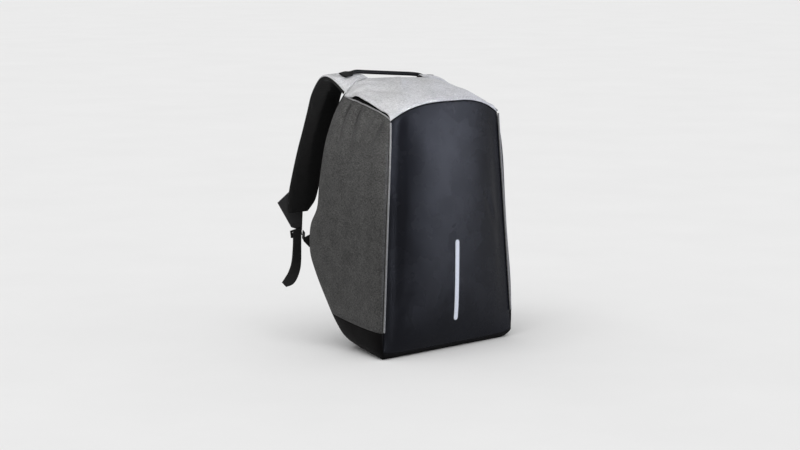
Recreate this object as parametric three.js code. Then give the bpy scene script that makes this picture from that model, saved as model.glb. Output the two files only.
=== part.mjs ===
// Anti theft backpack, standing upright: millimetres, +Z up, front towards -Y, wearer's side towards +Y.
// The origin is the middle of the flat underside the bag rests on.
import * as THREE from "three";

// Overall body sizes
const FRONT_Y = -66;
const FRONT_LEAN = 11;
const FRONT_HALF_LOW = 155;
const FRONT_HALF_HIGH = 127;
const FRONT_DOME = 14;
const CORNER_HEIGHT = 399;
const FOOT_SEAM_HEIGHT = 13;
const FOOT_SEAM_DIP = 5;
const ARCH_RISE = 28;
const ARCH_BOW = 10;
const ARCH_POWER = 3;

// Rear tips of the side panels, where the straps leave the body
const TIP_HALF = 133;
const TIP_Y = 54;
const TIP_HEIGHT = 430;
const TIP_TILT = 5;
const REAR_RISE = 29;
const REAR_POWER = 6;
const REAR_BOW = 20;
const KNEE_DEPTH = 47;
const TOP_CROWN = 5;
const BACK_CROWN = 6;
const TOP_RISE_POWER = 0.62;
const TOP_SIDE_BOW = 3;

// Side panels
const SIDE_BULGE_LOW = 8;
const SIDE_BULGE_HIGH = 14;
const SIDE_WRAP = 8;
const WRAP_SHARE = 0.08;
const BULGE_POWER = 8;

// Base
const BASE_FRONT_HEIGHT = 46;
const BASE_REAR_HEIGHT = 63;
const BASE_REAR_Y = 78;
const BASE_REAR_HALF = 142;
const BASE_REAR_BOW = 8;
const FOOT_FRONT_Y = -57;
const FOOT_REAR_Y = 84;
const FOOT_REAR_BOW = 37;
const FOOT_FRONT_HALF = 144;
const FOOT_REAR_HALF = 92;
const FOOT_CORNER = 8;
const SOLE_REAR_Y = 68;
const SOLE_REAR_BOW = 17;
const SOLE_REAR_HALF = 128;
const SOLE_REAR_HEIGHT = 28;
const SOLE_BULGE = 5;
const SOLE_ROUND = 0.45;

// Cloth thicknesses and gaps
const CLOTH = 2.4;
const BACK_PAD = 7;
const BASE_CLOTH = 3;
const GAP = 0.35;
const SEAM_INSET = 0.24;
const BACK_INSET = 0.45;
const CHANNEL_DEPTH = 4;

// Trim
const PIPING_RADIUS = 1.7;
const STRIP_CENTRE_X = 6;
const STRIP_WIDTH = 9.4;
const STRIP_LOW = 50;
const STRIP_HIGH = 190;
const STRIP_THICK = 0.8;
const SLOT_LIFT = 5.5;
const SLOT_INSET = 1.5;
const TAPE_WING = 8;
const TAPE_THICK = 1.2;
const TAPE_SAG = 0.5;
const TAPE_FOLLOW = 0.6;

// Straps, handle and webbing
const STRAP_WIDTH = 69;
const STRAP_REACH = 104;
const STRAP_RISE = 206;
const STRAP_HALF_THICK = 4.6;
const ROOT_BACK = 1.9;
const ROOT_LIFT = 1.6;
const COVER_THICK = 1.2;
const COVER_EDGE = 0.92;
const RIGHT_CREST_DROP = 20;
const HANDLE_RISE = 1.5;
const HANDLE_RADIUS = 3.5;
const HANDLE_TAB_HALF = 9;
const HANDLE_TAB_THICK = 1.3;
const TAB_LIFT = 1.6;
const WEBBING_HALF = 9.5;
const WEBBING_THICK = 1.6;
const LOCK_WIDTH = 24;
const LOCK_HEIGHT = 13;
const LOCK_THICK = 3.6;
const LOCK_BAR = 3;
const LOCK_SLOT = 1.5;
const LOCK_DROP = 36.7;
const LOCK_OUT = 2.7;
const WING_THICK = 2;
const WING_WIDTH = 57;
const WING_HEIGHT = 72;
const WING_LIFT = 1.3;
const WING_OUT = -6.3;
const TAIL_LENGTH = 95;
const TAIL_DEPTH = 3.05;
const TAB_Z = 182;
const TAB_DEPTH = 15;
const TAB_HALF_HEIGHT = 11;
const TAB_SEAT = 0.4;
const TAB_LOOSE = 1.1;
const LINK_GAP = 3.6;

// How many steps each seam is cut into; panels that share a seam share its steps
const ACROSS = 16;
const ROWS = 18;
const LOW_ROWS = 3;
const SIDE_SHARES = [0, 0.03, 0.07, 0.13, 0.22, 0.34, 0.47, 0.6, 0.73, 0.84, 0.93, 1];
const RING_SHARES = [0, 0.35, 0.7, 1];
const KEY_STEPS = 7.3;
const KEY_SHIFT = 0.137;

const LEFT = -1;
const RIGHT = 1;
const point = (x, y, z) => new THREE.Vector3(x, y, z);
const mix = (a, b, t) => a + (b - a) * t;
const steps = (n) => Array.from({ length: n + 1 }, (_, i) => i / n);
const wrapBump = (s) => (s / WRAP_SHARE) * Math.exp(1 - s / WRAP_SHARE);
const roundBulge = (s) => 1 - Math.abs(2 * s - 1) ** BULGE_POWER;
const edgeFade = (v) => (1 - v ** 14) * (1 - (1 - v) ** 8);

// Seams of the body
const frontHalf = (z) =>
  mix(FRONT_HALF_LOW, FRONT_HALF_HIGH, (z - FOOT_SEAM_HEIGHT) / (CORNER_HEIGHT - FOOT_SEAM_HEIGHT));

const frontSeamAt = (side, z) => point(side * frontHalf(z), FRONT_Y + (FRONT_LEAN * z) / CORNER_HEIGHT, z);
const frontSeamLow = (side, t) => frontSeamAt(side, mix(FOOT_SEAM_HEIGHT, BASE_FRONT_HEIGHT, t));
const frontSeamHigh = (side, t) => frontSeamAt(side, mix(BASE_FRONT_HEIGHT, CORNER_HEIGHT, t));
const footSeam = (t) => frontSeamLow(LEFT, 0).lerp(frontSeamLow(RIGHT, 0), t)
  .add(point(0, 0, -FOOT_SEAM_DIP * (1 - (2 * t - 1) ** 8)));

function archSeam(t) {
  const s = 2 * t - 1;
  const corner = frontSeamAt(RIGHT, CORNER_HEIGHT);
  const rise = ARCH_RISE * (1 - Math.abs(s) ** ARCH_POWER);
  return point(corner.x * s, corner.y - ARCH_BOW * (1 - s * s), CORNER_HEIGHT + rise);
}

function rearTopSeam(t) {
  const s = 2 * t - 1;
  const z = TIP_HEIGHT + REAR_RISE * (1 - Math.abs(s) ** REAR_POWER) - TIP_TILT * s;
  return point(TIP_HALF * s, TIP_Y + REAR_BOW * (1 - s * s), z);
}

function topSideSeam(side, t) {
  const front = frontSeamAt(side, CORNER_HEIGHT);
  const tip = rearTopSeam(side === LEFT ? 0 : 1);
  const bow = side * TOP_SIDE_BOW * Math.sin(Math.PI * t);
  return point(mix(front.x, tip.x, t) + bow, mix(front.y, tip.y, t), mix(front.z, tip.z, t ** TOP_RISE_POWER));
}

// Rear edge of a side panel from the base up to the tip, as shares of the named sizes
const REAR_EDGE = [
  { half: 1.0, depth: 0.0, height: 0.0 },
  { half: 1.046, depth: 0.75, height: 0.19 },
  { half: 1.054, depth: 0.98, height: 0.27 },
  { half: 1.056, depth: 0.93, height: 0.395 },
  { half: 1.046, depth: 0.6, height: 0.48 },
  { half: 1.035, depth: 0.5, height: 0.6 },
  { half: 1.007, depth: 0.23, height: 0.795 },
  { half: 0.965, depth: -0.14, height: 0.93 },
];
const rearEdgeCurve = (side) => {
  const tip = rearTopSeam(side === LEFT ? 0 : 1);
  const rows = REAR_EDGE.map((r) => point(
    side * BASE_REAR_HALF * r.half,
    BASE_REAR_Y + KNEE_DEPTH * r.depth,
    mix(BASE_REAR_HEIGHT, tip.z, r.height),
  ));
  return new THREE.CatmullRomCurve3([...rows, tip], false, "centripetal");
};
const REAR_CURVES = { [LEFT]: rearEdgeCurve(LEFT), [RIGHT]: rearEdgeCurve(RIGHT) };
const rearSeam = (side, t) => REAR_CURVES[side].getPointAt(t);

function baseSideSeam(side, t) {
  const front = frontSeamAt(side, BASE_FRONT_HEIGHT);
  const x = mix(FRONT_HALF_LOW, BASE_REAR_HALF, t) + SIDE_BULGE_LOW * roundBulge(t);
  const blend = t === 0 ? Math.abs(front.x) : x;
  return point(
    side * blend,
    mix(front.y, BASE_REAR_Y, t) - SIDE_WRAP * 0.6 * wrapBump(t) * (1 - t),
    mix(BASE_FRONT_HEIGHT, BASE_REAR_HEIGHT, t ** 1.4),
  );
}

function baseRearSeam(t) {
  const s = 2 * t - 1;
  return point(BASE_REAR_HALF * s, BASE_REAR_Y + BASE_REAR_BOW * (1 - s * s), BASE_REAR_HEIGHT);
}

// A smooth panel between four seams, with the swelling of the cloth added
function panelGrid(low, high, first, last, us, vs, swell) {
  return vs.map((v, j) => us.map((u, i) => {
    const p = point(0, 0, 0)
      .addScaledVector(low[i], 1 - v).addScaledVector(high[i], v)
      .addScaledVector(first[j], 1 - u).addScaledVector(last[j], u)
      .addScaledVector(low[0], -(1 - u) * (1 - v)).addScaledVector(low[us.length - 1], -u * (1 - v))
      .addScaledVector(high[0], -(1 - u) * v).addScaledVector(high[us.length - 1], -u * v);
    const edge = u === 0 || u === 1 || v === 0 || v === 1;
    return edge ? p : p.add(swell(u, v));
  }));
}

const across = steps(ACROSS);
const rows = steps(ROWS);
const lowRows = steps(LOW_ROWS);
const topRows = SIDE_SHARES;
const sideShares = { [LEFT]: SIDE_SHARES.map((s) => 1 - s).reverse(), [RIGHT]: SIDE_SHARES };
const seamPoints = (seam, shares) => shares.map((t) => seam(t));

// Front panel, from the foot seam up to the arch
const frontColumn = (side) => [
  ...lowRows.slice(0, -1).map((t) => frontSeamLow(side, t)),
  ...rows.map((t) => frontSeamHigh(side, t)),
];
const frontShares = frontColumn(LEFT).map((p) => (p.z - FOOT_SEAM_HEIGHT) / (CORNER_HEIGHT - FOOT_SEAM_HEIGHT));
const frontGrid = panelGrid(
  seamPoints(footSeam, across), seamPoints(archSeam, across), frontColumn(LEFT), frontColumn(RIGHT),
  across, frontShares,
  (u, v) => point(0, -FRONT_DOME * (1 - Math.abs(2 * u - 1) ** 2.5) * (1 - (1 - v) ** 12) * (1 - v ** 5), 0),
);

// Top panel, from the arch back to the rear seam
const topGrid = panelGrid(
  seamPoints(archSeam, across), seamPoints(rearTopSeam, across),
  topRows.map((t) => topSideSeam(LEFT, t)), topRows.map((t) => topSideSeam(RIGHT, t)),
  across, topRows, (u, v) => point(0, 0, TOP_CROWN * Math.sin(Math.PI * u) * Math.sin(Math.PI * v)),
);

// Side panels: shares run from left to right as seen from outside
function sideGrid(side) {
  const us = sideShares[side];
  const depth = (u) => (side === LEFT ? 1 - u : u);
  const front = rows.map((t) => frontSeamHigh(side, t));
  const rear = rows.map((t) => rearSeam(side, t));
  return panelGrid(
    us.map((u) => baseSideSeam(side, depth(u))), us.map((u) => topSideSeam(side, depth(u))),
    side === LEFT ? rear : front, side === LEFT ? front : rear, us, rows,
    (u, v) => {
      const s = depth(u);
      const out = mix(SIDE_BULGE_LOW * 0.5, SIDE_BULGE_HIGH, v) * roundBulge(s) * edgeFade(v);
      return point(side * out, -SIDE_WRAP * wrapBump(s) * (0.3 + 0.7 * v) * edgeFade(v), 0);
    },
  );
}
const sideGrids = { [LEFT]: sideGrid(LEFT), [RIGHT]: sideGrid(RIGHT) };

// Padded panel against the wearer's back, with soft sewn channels across it
const CHANNEL_ROWS = [4, 8, 12];
const backGrid = panelGrid(
  seamPoints(baseRearSeam, across).reverse(), seamPoints(rearTopSeam, across).reverse(),
  rows.map((t) => rearSeam(RIGHT, t)), rows.map((t) => rearSeam(LEFT, t)), across, rows,
  (u, v) => {
    const middle = Math.sin(Math.PI * u) ** 0.6;
    const channel = CHANNEL_ROWS.includes(Math.round(v * ROWS)) ? CHANNEL_DEPTH : 0;
    return point(0, middle * (BACK_CROWN * Math.sin(Math.PI * v) - channel), 0);
  },
);

// Sole line: where the wall of the base turns under; it rises towards the rear
const soleSide = (side, t) => point(
  side * (mix(FRONT_HALF_LOW, SOLE_REAR_HALF, t) + SOLE_BULGE * roundBulge(t)),
  mix(frontSeamLow(side, 0).y, SOLE_REAR_Y, t),
  mix(FOOT_SEAM_HEIGHT, SOLE_REAR_HEIGHT, t ** 1.4),
);
const soleRear = (t) => {
  const s = 2 * t - 1;
  return point(SOLE_REAR_HALF * s, SOLE_REAR_Y + SOLE_REAR_BOW * (1 - s * s), SOLE_REAR_HEIGHT);
};
const footSide = (side, t) => point(
  side * (mix(FOOT_FRONT_HALF, FOOT_REAR_HALF + FOOT_CORNER, t) - FOOT_CORNER * t ** 5),
  mix(FOOT_FRONT_Y, FOOT_REAR_Y - FOOT_REAR_BOW, t), 0,
);
const footFront = (t) => point(mix(-FOOT_FRONT_HALF, FOOT_FRONT_HALF, t), FOOT_FRONT_Y, 0);
const footRear = (t) => point(
  mix(-FOOT_REAR_HALF, FOOT_REAR_HALF, t), FOOT_REAR_Y - FOOT_REAR_BOW * Math.abs(2 * t - 1) ** 3, 0);

// Nets: outer points and the faces between them, turned outwards
function gridNet(grid) {
  const wide = grid[0].length;
  const faces = [];
  for (let j = 0; j + 1 < grid.length; j++) {
    for (let i = 0; i + 1 < wide; i++) {
      const a = j * wide + i;
      faces.push([a, a + 1, a + 1 + wide, a + wide]);
    }
  }
  return { points: grid.flat(), faces };
}

// Base: a wall round the sides and rear, standing on a rounded sole with a flat foot
function baseNet() {
  const part = (shares, seam, sole, foot) => shares.slice(0, -1).map((t) =>
    ({ seam: seam(t), sole: sole(t), foot: foot(t) }));
  const turned = [...SIDE_SHARES].map((t) => 1 - t).reverse();
  const wallLoop = [
    ...part(SIDE_SHARES, (t) => baseSideSeam(LEFT, t), (t) => soleSide(LEFT, t), (t) => footSide(LEFT, t)),
    ...part(across, baseRearSeam, soleRear, footRear),
    ...part(
      turned, (t) => baseSideSeam(RIGHT, 1 - t), (t) => soleSide(RIGHT, 1 - t), (t) => footSide(RIGHT, 1 - t),
    ),
  ];
  const frontLoop = across.slice(0, -1).map((t) => ({ sole: footSeam(1 - t), foot: footFront(1 - t) }));
  const loop = [...wallLoop, ...frontLoop];
  const count = loop.length;
  const rings = RING_SHARES.map((k) => loop.map(({ sole, foot }) => {
    const outwards = mix(1 - k, Math.cos((k * Math.PI) / 2), SOLE_ROUND);
    const down = mix(1 - k, 1 - Math.sin((k * Math.PI) / 2), SOLE_ROUND);
    return point(mix(foot.x, sole.x, outwards), mix(foot.y, sole.y, outwards), sole.z * down);
  }));
  rings.push(loop.map(({ foot }) => point(foot.x * 0.5, foot.y * 0.5, 0)));
  const points = [...rings.flat(), point(0, 0, 0)];
  const faces = [];
  const last = (rings.length - 1) * count;
  for (let i = 0; i < count; i++) {
    const n = (i + 1) % count;
    for (let j = 0; j + 1 < rings.length; j++) {
      faces.push([j * count + i, j * count + n, (j + 1) * count + n, (j + 1) * count + i]);
    }
    faces.push([last + i, last + n, points.length - 1]);
  }
  const wallCount = wallLoop.length + 1;
  const rowStart = (r) => (r === 0 ? 0 : rings.flat().length + 1 + (r - 1) * wallCount);
  for (let r = 1; r <= LOW_ROWS; r++) {
    const t = r / LOW_ROWS;
    wallLoop.forEach(({ seam, sole }) => points.push(sole.clone().lerp(seam, t)));
    points.push(frontSeamLow(RIGHT, t));
    points[rowStart(r)].copy(frontSeamLow(LEFT, t));
    for (let i = 0; i + 1 < wallCount; i++) {
      faces.push([rowStart(r - 1) + i, rowStart(r) + i, rowStart(r) + i + 1, rowStart(r - 1) + i + 1]);
    }
  }
  return { points, faces };
}

// Directions of a net: normals of its points and the edges along its border
function studyNet(net) {
  const normals = net.points.map(() => point(0, 0, 0));
  const open = new Map();
  for (const face of net.faces) {
    const [a, b, c, d] = face.map((i) => net.points[i]);
    const far = d ?? c;
    const normal = c.clone().sub(a).cross(far.clone().sub(b));
    if (!d) normal.copy(b.clone().sub(a).cross(c.clone().sub(a)));
    face.forEach((i) => normals[i].add(normal));
    normal.normalize();
    face.forEach((i, k) => {
      const n = face[(k + 1) % face.length];
      if (!open.delete(`${n},${i}`)) open.set(`${i},${n}`, { from: i, to: n, normal: normal.clone() });
    });
  }
  normals.forEach((n) => n.normalize());
  return { ...net, normals, border: [...open.values()] };
}

// Outward directions of every panel that meets at a seam point
const seamNormals = new Map();
const seamKey = (p) => [p.x, p.y, p.z].map((c) => Math.round(c * KEY_STEPS + KEY_SHIFT)).join();
function noteSeams({ points, normals, border }) {
  for (const { from } of border) {
    const key = seamKey(points[from]);
    seamNormals.set(key, [...(seamNormals.get(key) ?? []), normals[from]]);
  }
}

// Offset that is one unit away from every panel meeting at a seam point
const evenOffset = (list) => {
  const sum = list.reduce((a, n) => a.add(n), point(0, 0, 0));
  return sum.multiplyScalar(list.length / sum.lengthSq());
};
const mitre = (p) => evenOffset(seamNormals.get(seamKey(p)));

const nets = {
  front: studyNet(gridNet(frontGrid)),
  top: studyNet(gridNet(topGrid)),
  left: studyNet(gridNet(sideGrids[LEFT])),
  right: studyNet(gridNet(sideGrids[RIGHT])),
  back: studyNet(gridNet(backGrid)),
  base: studyNet(baseNet()),
};
Object.values(nets).forEach(noteSeams);

// Mesh from points and triangles
function solid(points, triangles) {
  const geometry = new THREE.BufferGeometry();
  const numbers = points.flatMap((p) => [p.x, p.y, p.z]);
  geometry.setAttribute("position", new THREE.Float32BufferAttribute(numbers, 3));
  geometry.setIndex(triangles.flat());
  geometry.computeVertexNormals();
  return geometry;
}
const quad = (a, b, c, d) => [[a, b, c], [a, c, d]];

// Cloth with thickness: outer face, inner face and a mitred rim, set back a little from its seams
function clothPanel({ points, faces, normals, border }, thickness, inset = SEAM_INSET, lift = () => 0) {
  const inwards = new Map();
  for (const { from, to, normal } of border) {
    const along = points[to].clone().sub(points[from]).normalize();
    const into = normal.clone().cross(along).normalize();
    for (const i of [from, to]) inwards.set(i, [...(inwards.get(i) ?? []), into]);
  }
  const outer = points.map((p, i) => (inwards.has(i)
    ? p.clone().addScaledVector(evenOffset(inwards.get(i)), inset + lift(i) * SLOT_INSET)
      .add(point(0, 0, lift(i) * SLOT_LIFT)) : p.clone()));
  const inner = outer.map((p, i) =>
    p.clone().addScaledVector(inwards.has(i) ? mitre(points[i]) : normals[i], -thickness));
  const under = outer.length;
  const triangles = faces.flatMap(([a, b, c, d]) => (d === undefined
    ? [[a, b, c], [c + under, b + under, a + under]]
    : [...quad(a, b, c, d), ...quad(d + under, c + under, b + under, a + under)]));
  const order = (i) => 0.37 * points[i].y + 0.11 * points[i].z - Math.abs(points[i].x);
  for (const { from, to } of border) {
    if (order(from) < order(to)) triangles.push(...quad(from, from + under, to + under, to));
    else triangles.push(...quad(to, from, from + under, to + under));
  }
  return solid([...outer, ...inner], triangles);
}

// Closed body through a row of rings with flat ends
function loft(rings) {
  const count = rings[0].length;
  const points = rings.flat();
  const triangles = [];
  for (let j = 0; j + 1 < rings.length; j++) {
    for (let i = 0; i < count; i++) {
      const n = (i + 1) % count;
      const [a, b, c, d] = [j * count + i, j * count + n, (j + 1) * count + n, (j + 1) * count + i];
      const even = points[a].distanceTo(points[c]) <= points[b].distanceTo(points[d]);
      triangles.push(...(even ? quad(a, b, c, d) : quad(b, c, d, a)));
    }
  }
  const last = (rings.length - 1) * count;
  const cap = (a, b, c) => triangles.push([a, c, b], [last + a, last + b, last + c]);
  for (let low = 0, high = count - 1; low + 1 < high; low++, high--) {
    cap(low, low + 1, high);
    if (low + 1 < high - 1) cap(low + 1, high - 1, high);
  }
  return solid(points, triangles);
}

// Ring of points round a place; section rows are [across, out] in millimetres
const ringAt = (place, wide, out, section) => section.map(([a, b]) =>
  place.clone().addScaledVector(wide, a).addScaledVector(out, b));
const roundSection = (radius, sides) => Array.from({ length: sides }, (_, k) => {
  const angle = (2 * Math.PI * k) / sides;
  return [radius * Math.cos(angle), radius * Math.sin(angle)];
});
const flatSection = (half, halfThick) => [
  [-half, -halfThick], [half, -halfThick], [half, halfThick], [-half, halfThick],
];

// Piping cord along a seam, resting on its outer edge
function piping(places) {
  const centres = places.map((p) => p.clone().addScaledVector(mitre(p).normalize(), PIPING_RADIUS + GAP));
  return loft(centres.map((c, k) => {
    const ahead = centres[Math.min(k + 1, centres.length - 1)];
    const behind = centres[Math.max(k - 1, 0)];
    const along = ahead.clone().sub(behind).normalize();
    const out = mitre(places[k]).normalize();
    out.addScaledVector(along, -out.dot(along)).normalize();
    const wide = out.clone().cross(along).normalize();
    return ringAt(c, wide, out, roundSection(PIPING_RADIUS, 6));
  }));
}
const innerShares = (shares) => shares.slice(1, -1);
const frontPiping = (side) => piping(innerShares(rows).map((t) => frontSeamHigh(side, t)));
const topPiping = (side) => piping(innerShares(topRows).map((t) => topSideSeam(side, t)));

// Zip tape lying inside the top edge of a side panel, seen through the slot
const slotShape = (t) => (t < 0.12 || t > 0.9 ? 0 : Math.sin((Math.PI * (t - 0.12)) / 0.78) ** 1.5);
function zipTape(side) {
  const column = side === LEFT ? 0 : ACROSS;
  const into = (from, to) => to.clone().sub(from).normalize();
  const rings = innerShares(SIDE_SHARES).map((t, k) => {
    const j = k + 1;
    const i = side === LEFT ? SIDE_SHARES.length - 1 - j : j;
    const seam = topGrid[j][column];
    const intoTop = into(seam, topGrid[j][column - side]);
    const intoSide = into(seam, sideGrids[side][ROWS - 1][i]);
    const under = (depth) => seam.clone().addScaledVector(mitre(seam), -depth);
    const near = CLOTH + GAP;
    const far = near + TAPE_THICK;
    const raise = point(0, 0, SLOT_LIFT * slotShape(t) * TAPE_FOLLOW);
    return [
      under(near + TAPE_SAG).addScaledVector(intoTop, TAPE_WING),
      under(near + TAPE_SAG * 0.5).addScaledVector(intoTop, TAPE_WING * 0.2).add(raise),
      under(near),
      under(near + TAPE_SAG * 0.5).addScaledVector(intoSide, TAPE_WING * 0.35),
      under(near + TAPE_SAG).addScaledVector(intoSide, TAPE_WING),
      under(far + TAPE_SAG).addScaledVector(intoSide, TAPE_WING),
      under(far),
      under(far + TAPE_SAG).addScaledVector(intoTop, TAPE_WING),
    ];
  });
  return loft(side === LEFT ? rings.map((r) => [...r].reverse()) : rings);
}

// Place on the front panel at a sideways place and a height
function onFront(x, z) {
  const j = frontGrid.findIndex((line) => line[ACROSS / 2].z > z) - 1;
  const pick = (line) => {
    const i = line.findIndex((p) => p.x > x) - 1;
    return line[i].clone().lerp(line[i + 1], (x - line[i].x) / (line[i + 1].x - line[i].x));
  };
  const [a, b] = [pick(frontGrid[j]), pick(frontGrid[j + 1])];
  return a.lerp(b, (z - a.z) / (b.z - a.z));
}

// Reflective strip with rounded ends, lying on the front panel
function reflectiveStrip() {
  const radius = STRIP_WIDTH / 2;
  const ends = [0.05, 0.3, 0.6, 1];
  const clear = (z) => z > STRIP_LOW + STRIP_WIDTH && z < STRIP_HIGH - STRIP_WIDTH;
  const inner = frontGrid.map((line) => line[ACROSS / 2].z).filter(clear);
  const heights = [
    ...ends.map((e) => STRIP_LOW + radius * e), ...inner,
    ...[...ends].reverse().map((e) => STRIP_HIGH - radius * e),
  ];
  return loft(heights.map((z) => {
    const fromEnd = Math.min(z - STRIP_LOW, STRIP_HIGH - z, radius);
    const half = Math.sqrt(radius ** 2 - (radius - fromEnd) ** 2);
    const [a, b] = [onFront(STRIP_CENTRE_X - half, z), onFront(STRIP_CENTRE_X + half, z)];
    const lift = (p, out) => point(p.x, p.y - out, p.z);
    return [lift(a, GAP), lift(b, GAP), lift(b, GAP + STRIP_THICK), lift(a, GAP + STRIP_THICK)].reverse();
  }));
}

// Shoulder strap stations, as shares of the named sizes: outer edge sideways, rearward and up from the
// root, how far the row still follows the slanted root line, fullness of the padding and width
const STRAP_ROWS = [
  { out: 0.0, rear: 0.0, up: 0.0, follow: 1.0, full: 0.2, width: 1.0 },
  { out: 0.0, rear: 0.12, up: 0.044, follow: 0.68, full: 0.45, width: 1.0 },
  { out: 0.01, rear: 0.23, up: 0.081, follow: 0.36, full: 0.75, width: 1.0 },
  { out: 0.025, rear: 0.335, up: 0.108, follow: 0.16, full: 0.9, width: 1.0 },
  { out: 0.045, rear: 0.435, up: 0.12, follow: 0.06, full: 1, width: 1.0 },
  { out: 0.07, rear: 0.53, up: 0.104, follow: 0.02, full: 1, width: 1.0 },
  { out: 0.1, rear: 0.615, up: 0.05, follow: 0, full: 1, width: 1.0 },
  { out: 0.13, rear: 0.705, up: -0.04, follow: 0, full: 1, width: 1.0 },
  { out: 0.17, rear: 0.765, up: -0.165, follow: 0, full: 1, width: 1.0 },
  { out: 0.23, rear: 0.835, up: -0.32, follow: 0, full: 1, width: 1.0 },
  { out: 0.31, rear: 0.905, up: -0.485, follow: 0, full: 1, width: 1.0 },
  { out: 0.4, rear: 0.96, up: -0.665, follow: 0, full: 1, width: 0.98 },
  { out: 0.5, rear: 0.99, up: -0.845, follow: 0, full: 1, width: 0.96 },
  { out: 0.5, rear: 1.0, up: -0.94, follow: 0, full: 0.85, width: 0.86 },
  { out: 0.49, rear: 1.0, up: -1.02, follow: 0, full: 0.5, width: 0.62 },
];
const rootAt = (x) => rearTopSeam((x + TIP_HALF) / (2 * TIP_HALF)).add(point(0, ROOT_BACK, ROOT_LIFT));

function strapStations(side, crestDrop) {
  const [rootOuter, rootInner] = [rootAt(side * (TIP_HALF - 1)), rootAt(side * (TIP_HALF - 1 - STRAP_WIDTH))];
  const slant = rootInner.clone().sub(rootOuter);
  const edges = STRAP_ROWS.map((r, k) => {
    const onset = Math.min(1, Math.max(0, (k - 1) / 3));
    const sag = crestDrop * onset * Math.min(1, Math.max(0, 1 - (k - 5) / 6));
    const outer = point(
      rootOuter.x + side * STRAP_WIDTH * r.out,
      rootOuter.y + STRAP_REACH * r.rear,
      rootOuter.z + STRAP_RISE * r.up - sag,
    );
    const inner = outer.clone().add(point(slant.x * r.width, slant.y * r.follow, slant.z * r.follow));
    return { outer, inner };
  });
  const middles = edges.map((e) => e.outer.clone().lerp(e.inner, 0.5));
  return edges.map((e, k) => {
    const ahead = middles[Math.min(k + 1, edges.length - 1)];
    const behind = middles[Math.max(k - 1, 0)];
    const along = ahead.clone().sub(behind).normalize();
    const half = e.inner.clone().sub(e.outer).multiplyScalar(0.5);
    const out = half.clone().cross(along).multiplyScalar(-side).normalize();
    const arch = (a) => {
      const straight = rootOuter.clone().lerp(rootInner, (a + 1) / 2);
      return rootAt(straight.x).sub(straight).multiplyScalar(STRAP_ROWS[k].follow);
    };
    return { place: middles[k], half, out, along, thick: STRAP_HALF_THICK * STRAP_ROWS[k].full, arch };
  });
}
const STRAP_SECTION = [
  [-1, 0], [-0.94, -0.7], [-0.6, -1], [0, -1], [0.6, -1], [0.94, -0.7],
  [1, 0], [0.94, 0.7], [0.6, 1], [0, 1], [-0.6, 1], [-0.94, 0.7],
];
const strapTop = (a) => (Math.abs(a) <= 0.6 ? 1 : mix(1, 0.7, (Math.abs(a) - 0.6) / 0.34));
const strapPoint = (s, a, lift) =>
  s.place.clone().addScaledVector(s.half, a).add(s.arch(a)).addScaledVector(s.out, lift);
const orient = (side, ring) => (side === RIGHT ? ring : [...ring].reverse());

const shoulderStrap = (side, stations) => loft(stations.map((s) =>
  orient(side, STRAP_SECTION.map(([a, b]) => strapPoint(s, a, b * s.thick)))));

function strapCover(side, stations) {
  const shares = [-COVER_EDGE, -0.6, 0, 0.6, COVER_EDGE];
  return loft(stations.slice(0, -1).map((s) => {
    const under = shares.map((a) => strapPoint(s, a, s.thick * strapTop(a) + GAP));
    const over = shares.map((a) => strapPoint(s, a, s.thick * strapTop(a) + GAP + COVER_THICK));
    return orient(side, [...under, ...over.reverse()]);
  }));
}

const strapLeft = strapStations(LEFT, 0);
const strapRight = strapStations(RIGHT, RIGHT_CREST_DROP);

// Carrying handle: flat ends lying on the two straps, a round grip straight across between them
const HANDLE_ROW = 2;
const HANDLE_LEFT_SHARES = [-0.42, -0.2, 0.05];
const HANDLE_RIGHT_SHARES = [0.3, 0.08, -0.12];
const BRIDGE = [{ t: 0.05, rise: 0.6 }, { t: 0.1, rise: 1 }, { t: 0.3, rise: 1 }, { t: 0.5, rise: 1 },
  { t: 0.7, rise: 1 }, { t: 0.9, rise: 0.8 }, { t: 0.96, rise: 0.4 }];
function handle() {
  const seat = (stations, a) => {
    const s = stations[HANDLE_ROW];
    const lift = s.thick * strapTop(a) + GAP * 2 + COVER_THICK + HANDLE_TAB_THICK + TAB_LIFT;
    return { place: strapPoint(s, a, lift), wide: s.along, out: s.out, flat: 1 };
  };
  const up = point(0, 0, 1);
  const left = HANDLE_LEFT_SHARES.map((a) => seat(strapLeft, a));
  const right = HANDLE_RIGHT_SHARES.map((a) => seat(strapRight, a));
  const [start, end] = [left[left.length - 1].place, right[0].place];
  const bridge = BRIDGE.map(({ t, rise }) => ({
    place: start.clone().lerp(end, t).add(point(0, 0, (HANDLE_RADIUS - HANDLE_TAB_THICK + HANDLE_RISE) * rise)),
    wide: point(0, 1, 0), out: up, flat: Math.max(0, 0.5 - rise) * 2,
  }));
  const round = roundSection(1, 8);
  return loft([...left, ...bridge, ...right].map((s) => {
    const half = mix(HANDLE_RADIUS, HANDLE_TAB_HALF, s.flat);
    const thick = mix(HANDLE_RADIUS, HANDLE_TAB_THICK, s.flat);
    const wide = s.wide.clone().multiplyScalar(Math.sign(s.wide.y));
    const out = s.out.clone().addScaledVector(wide, -s.out.dot(wide)).normalize();
    return ringAt(s.place, wide, out, round.map(([a, b]) => [a * half, b * thick]));
  }));
}

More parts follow.
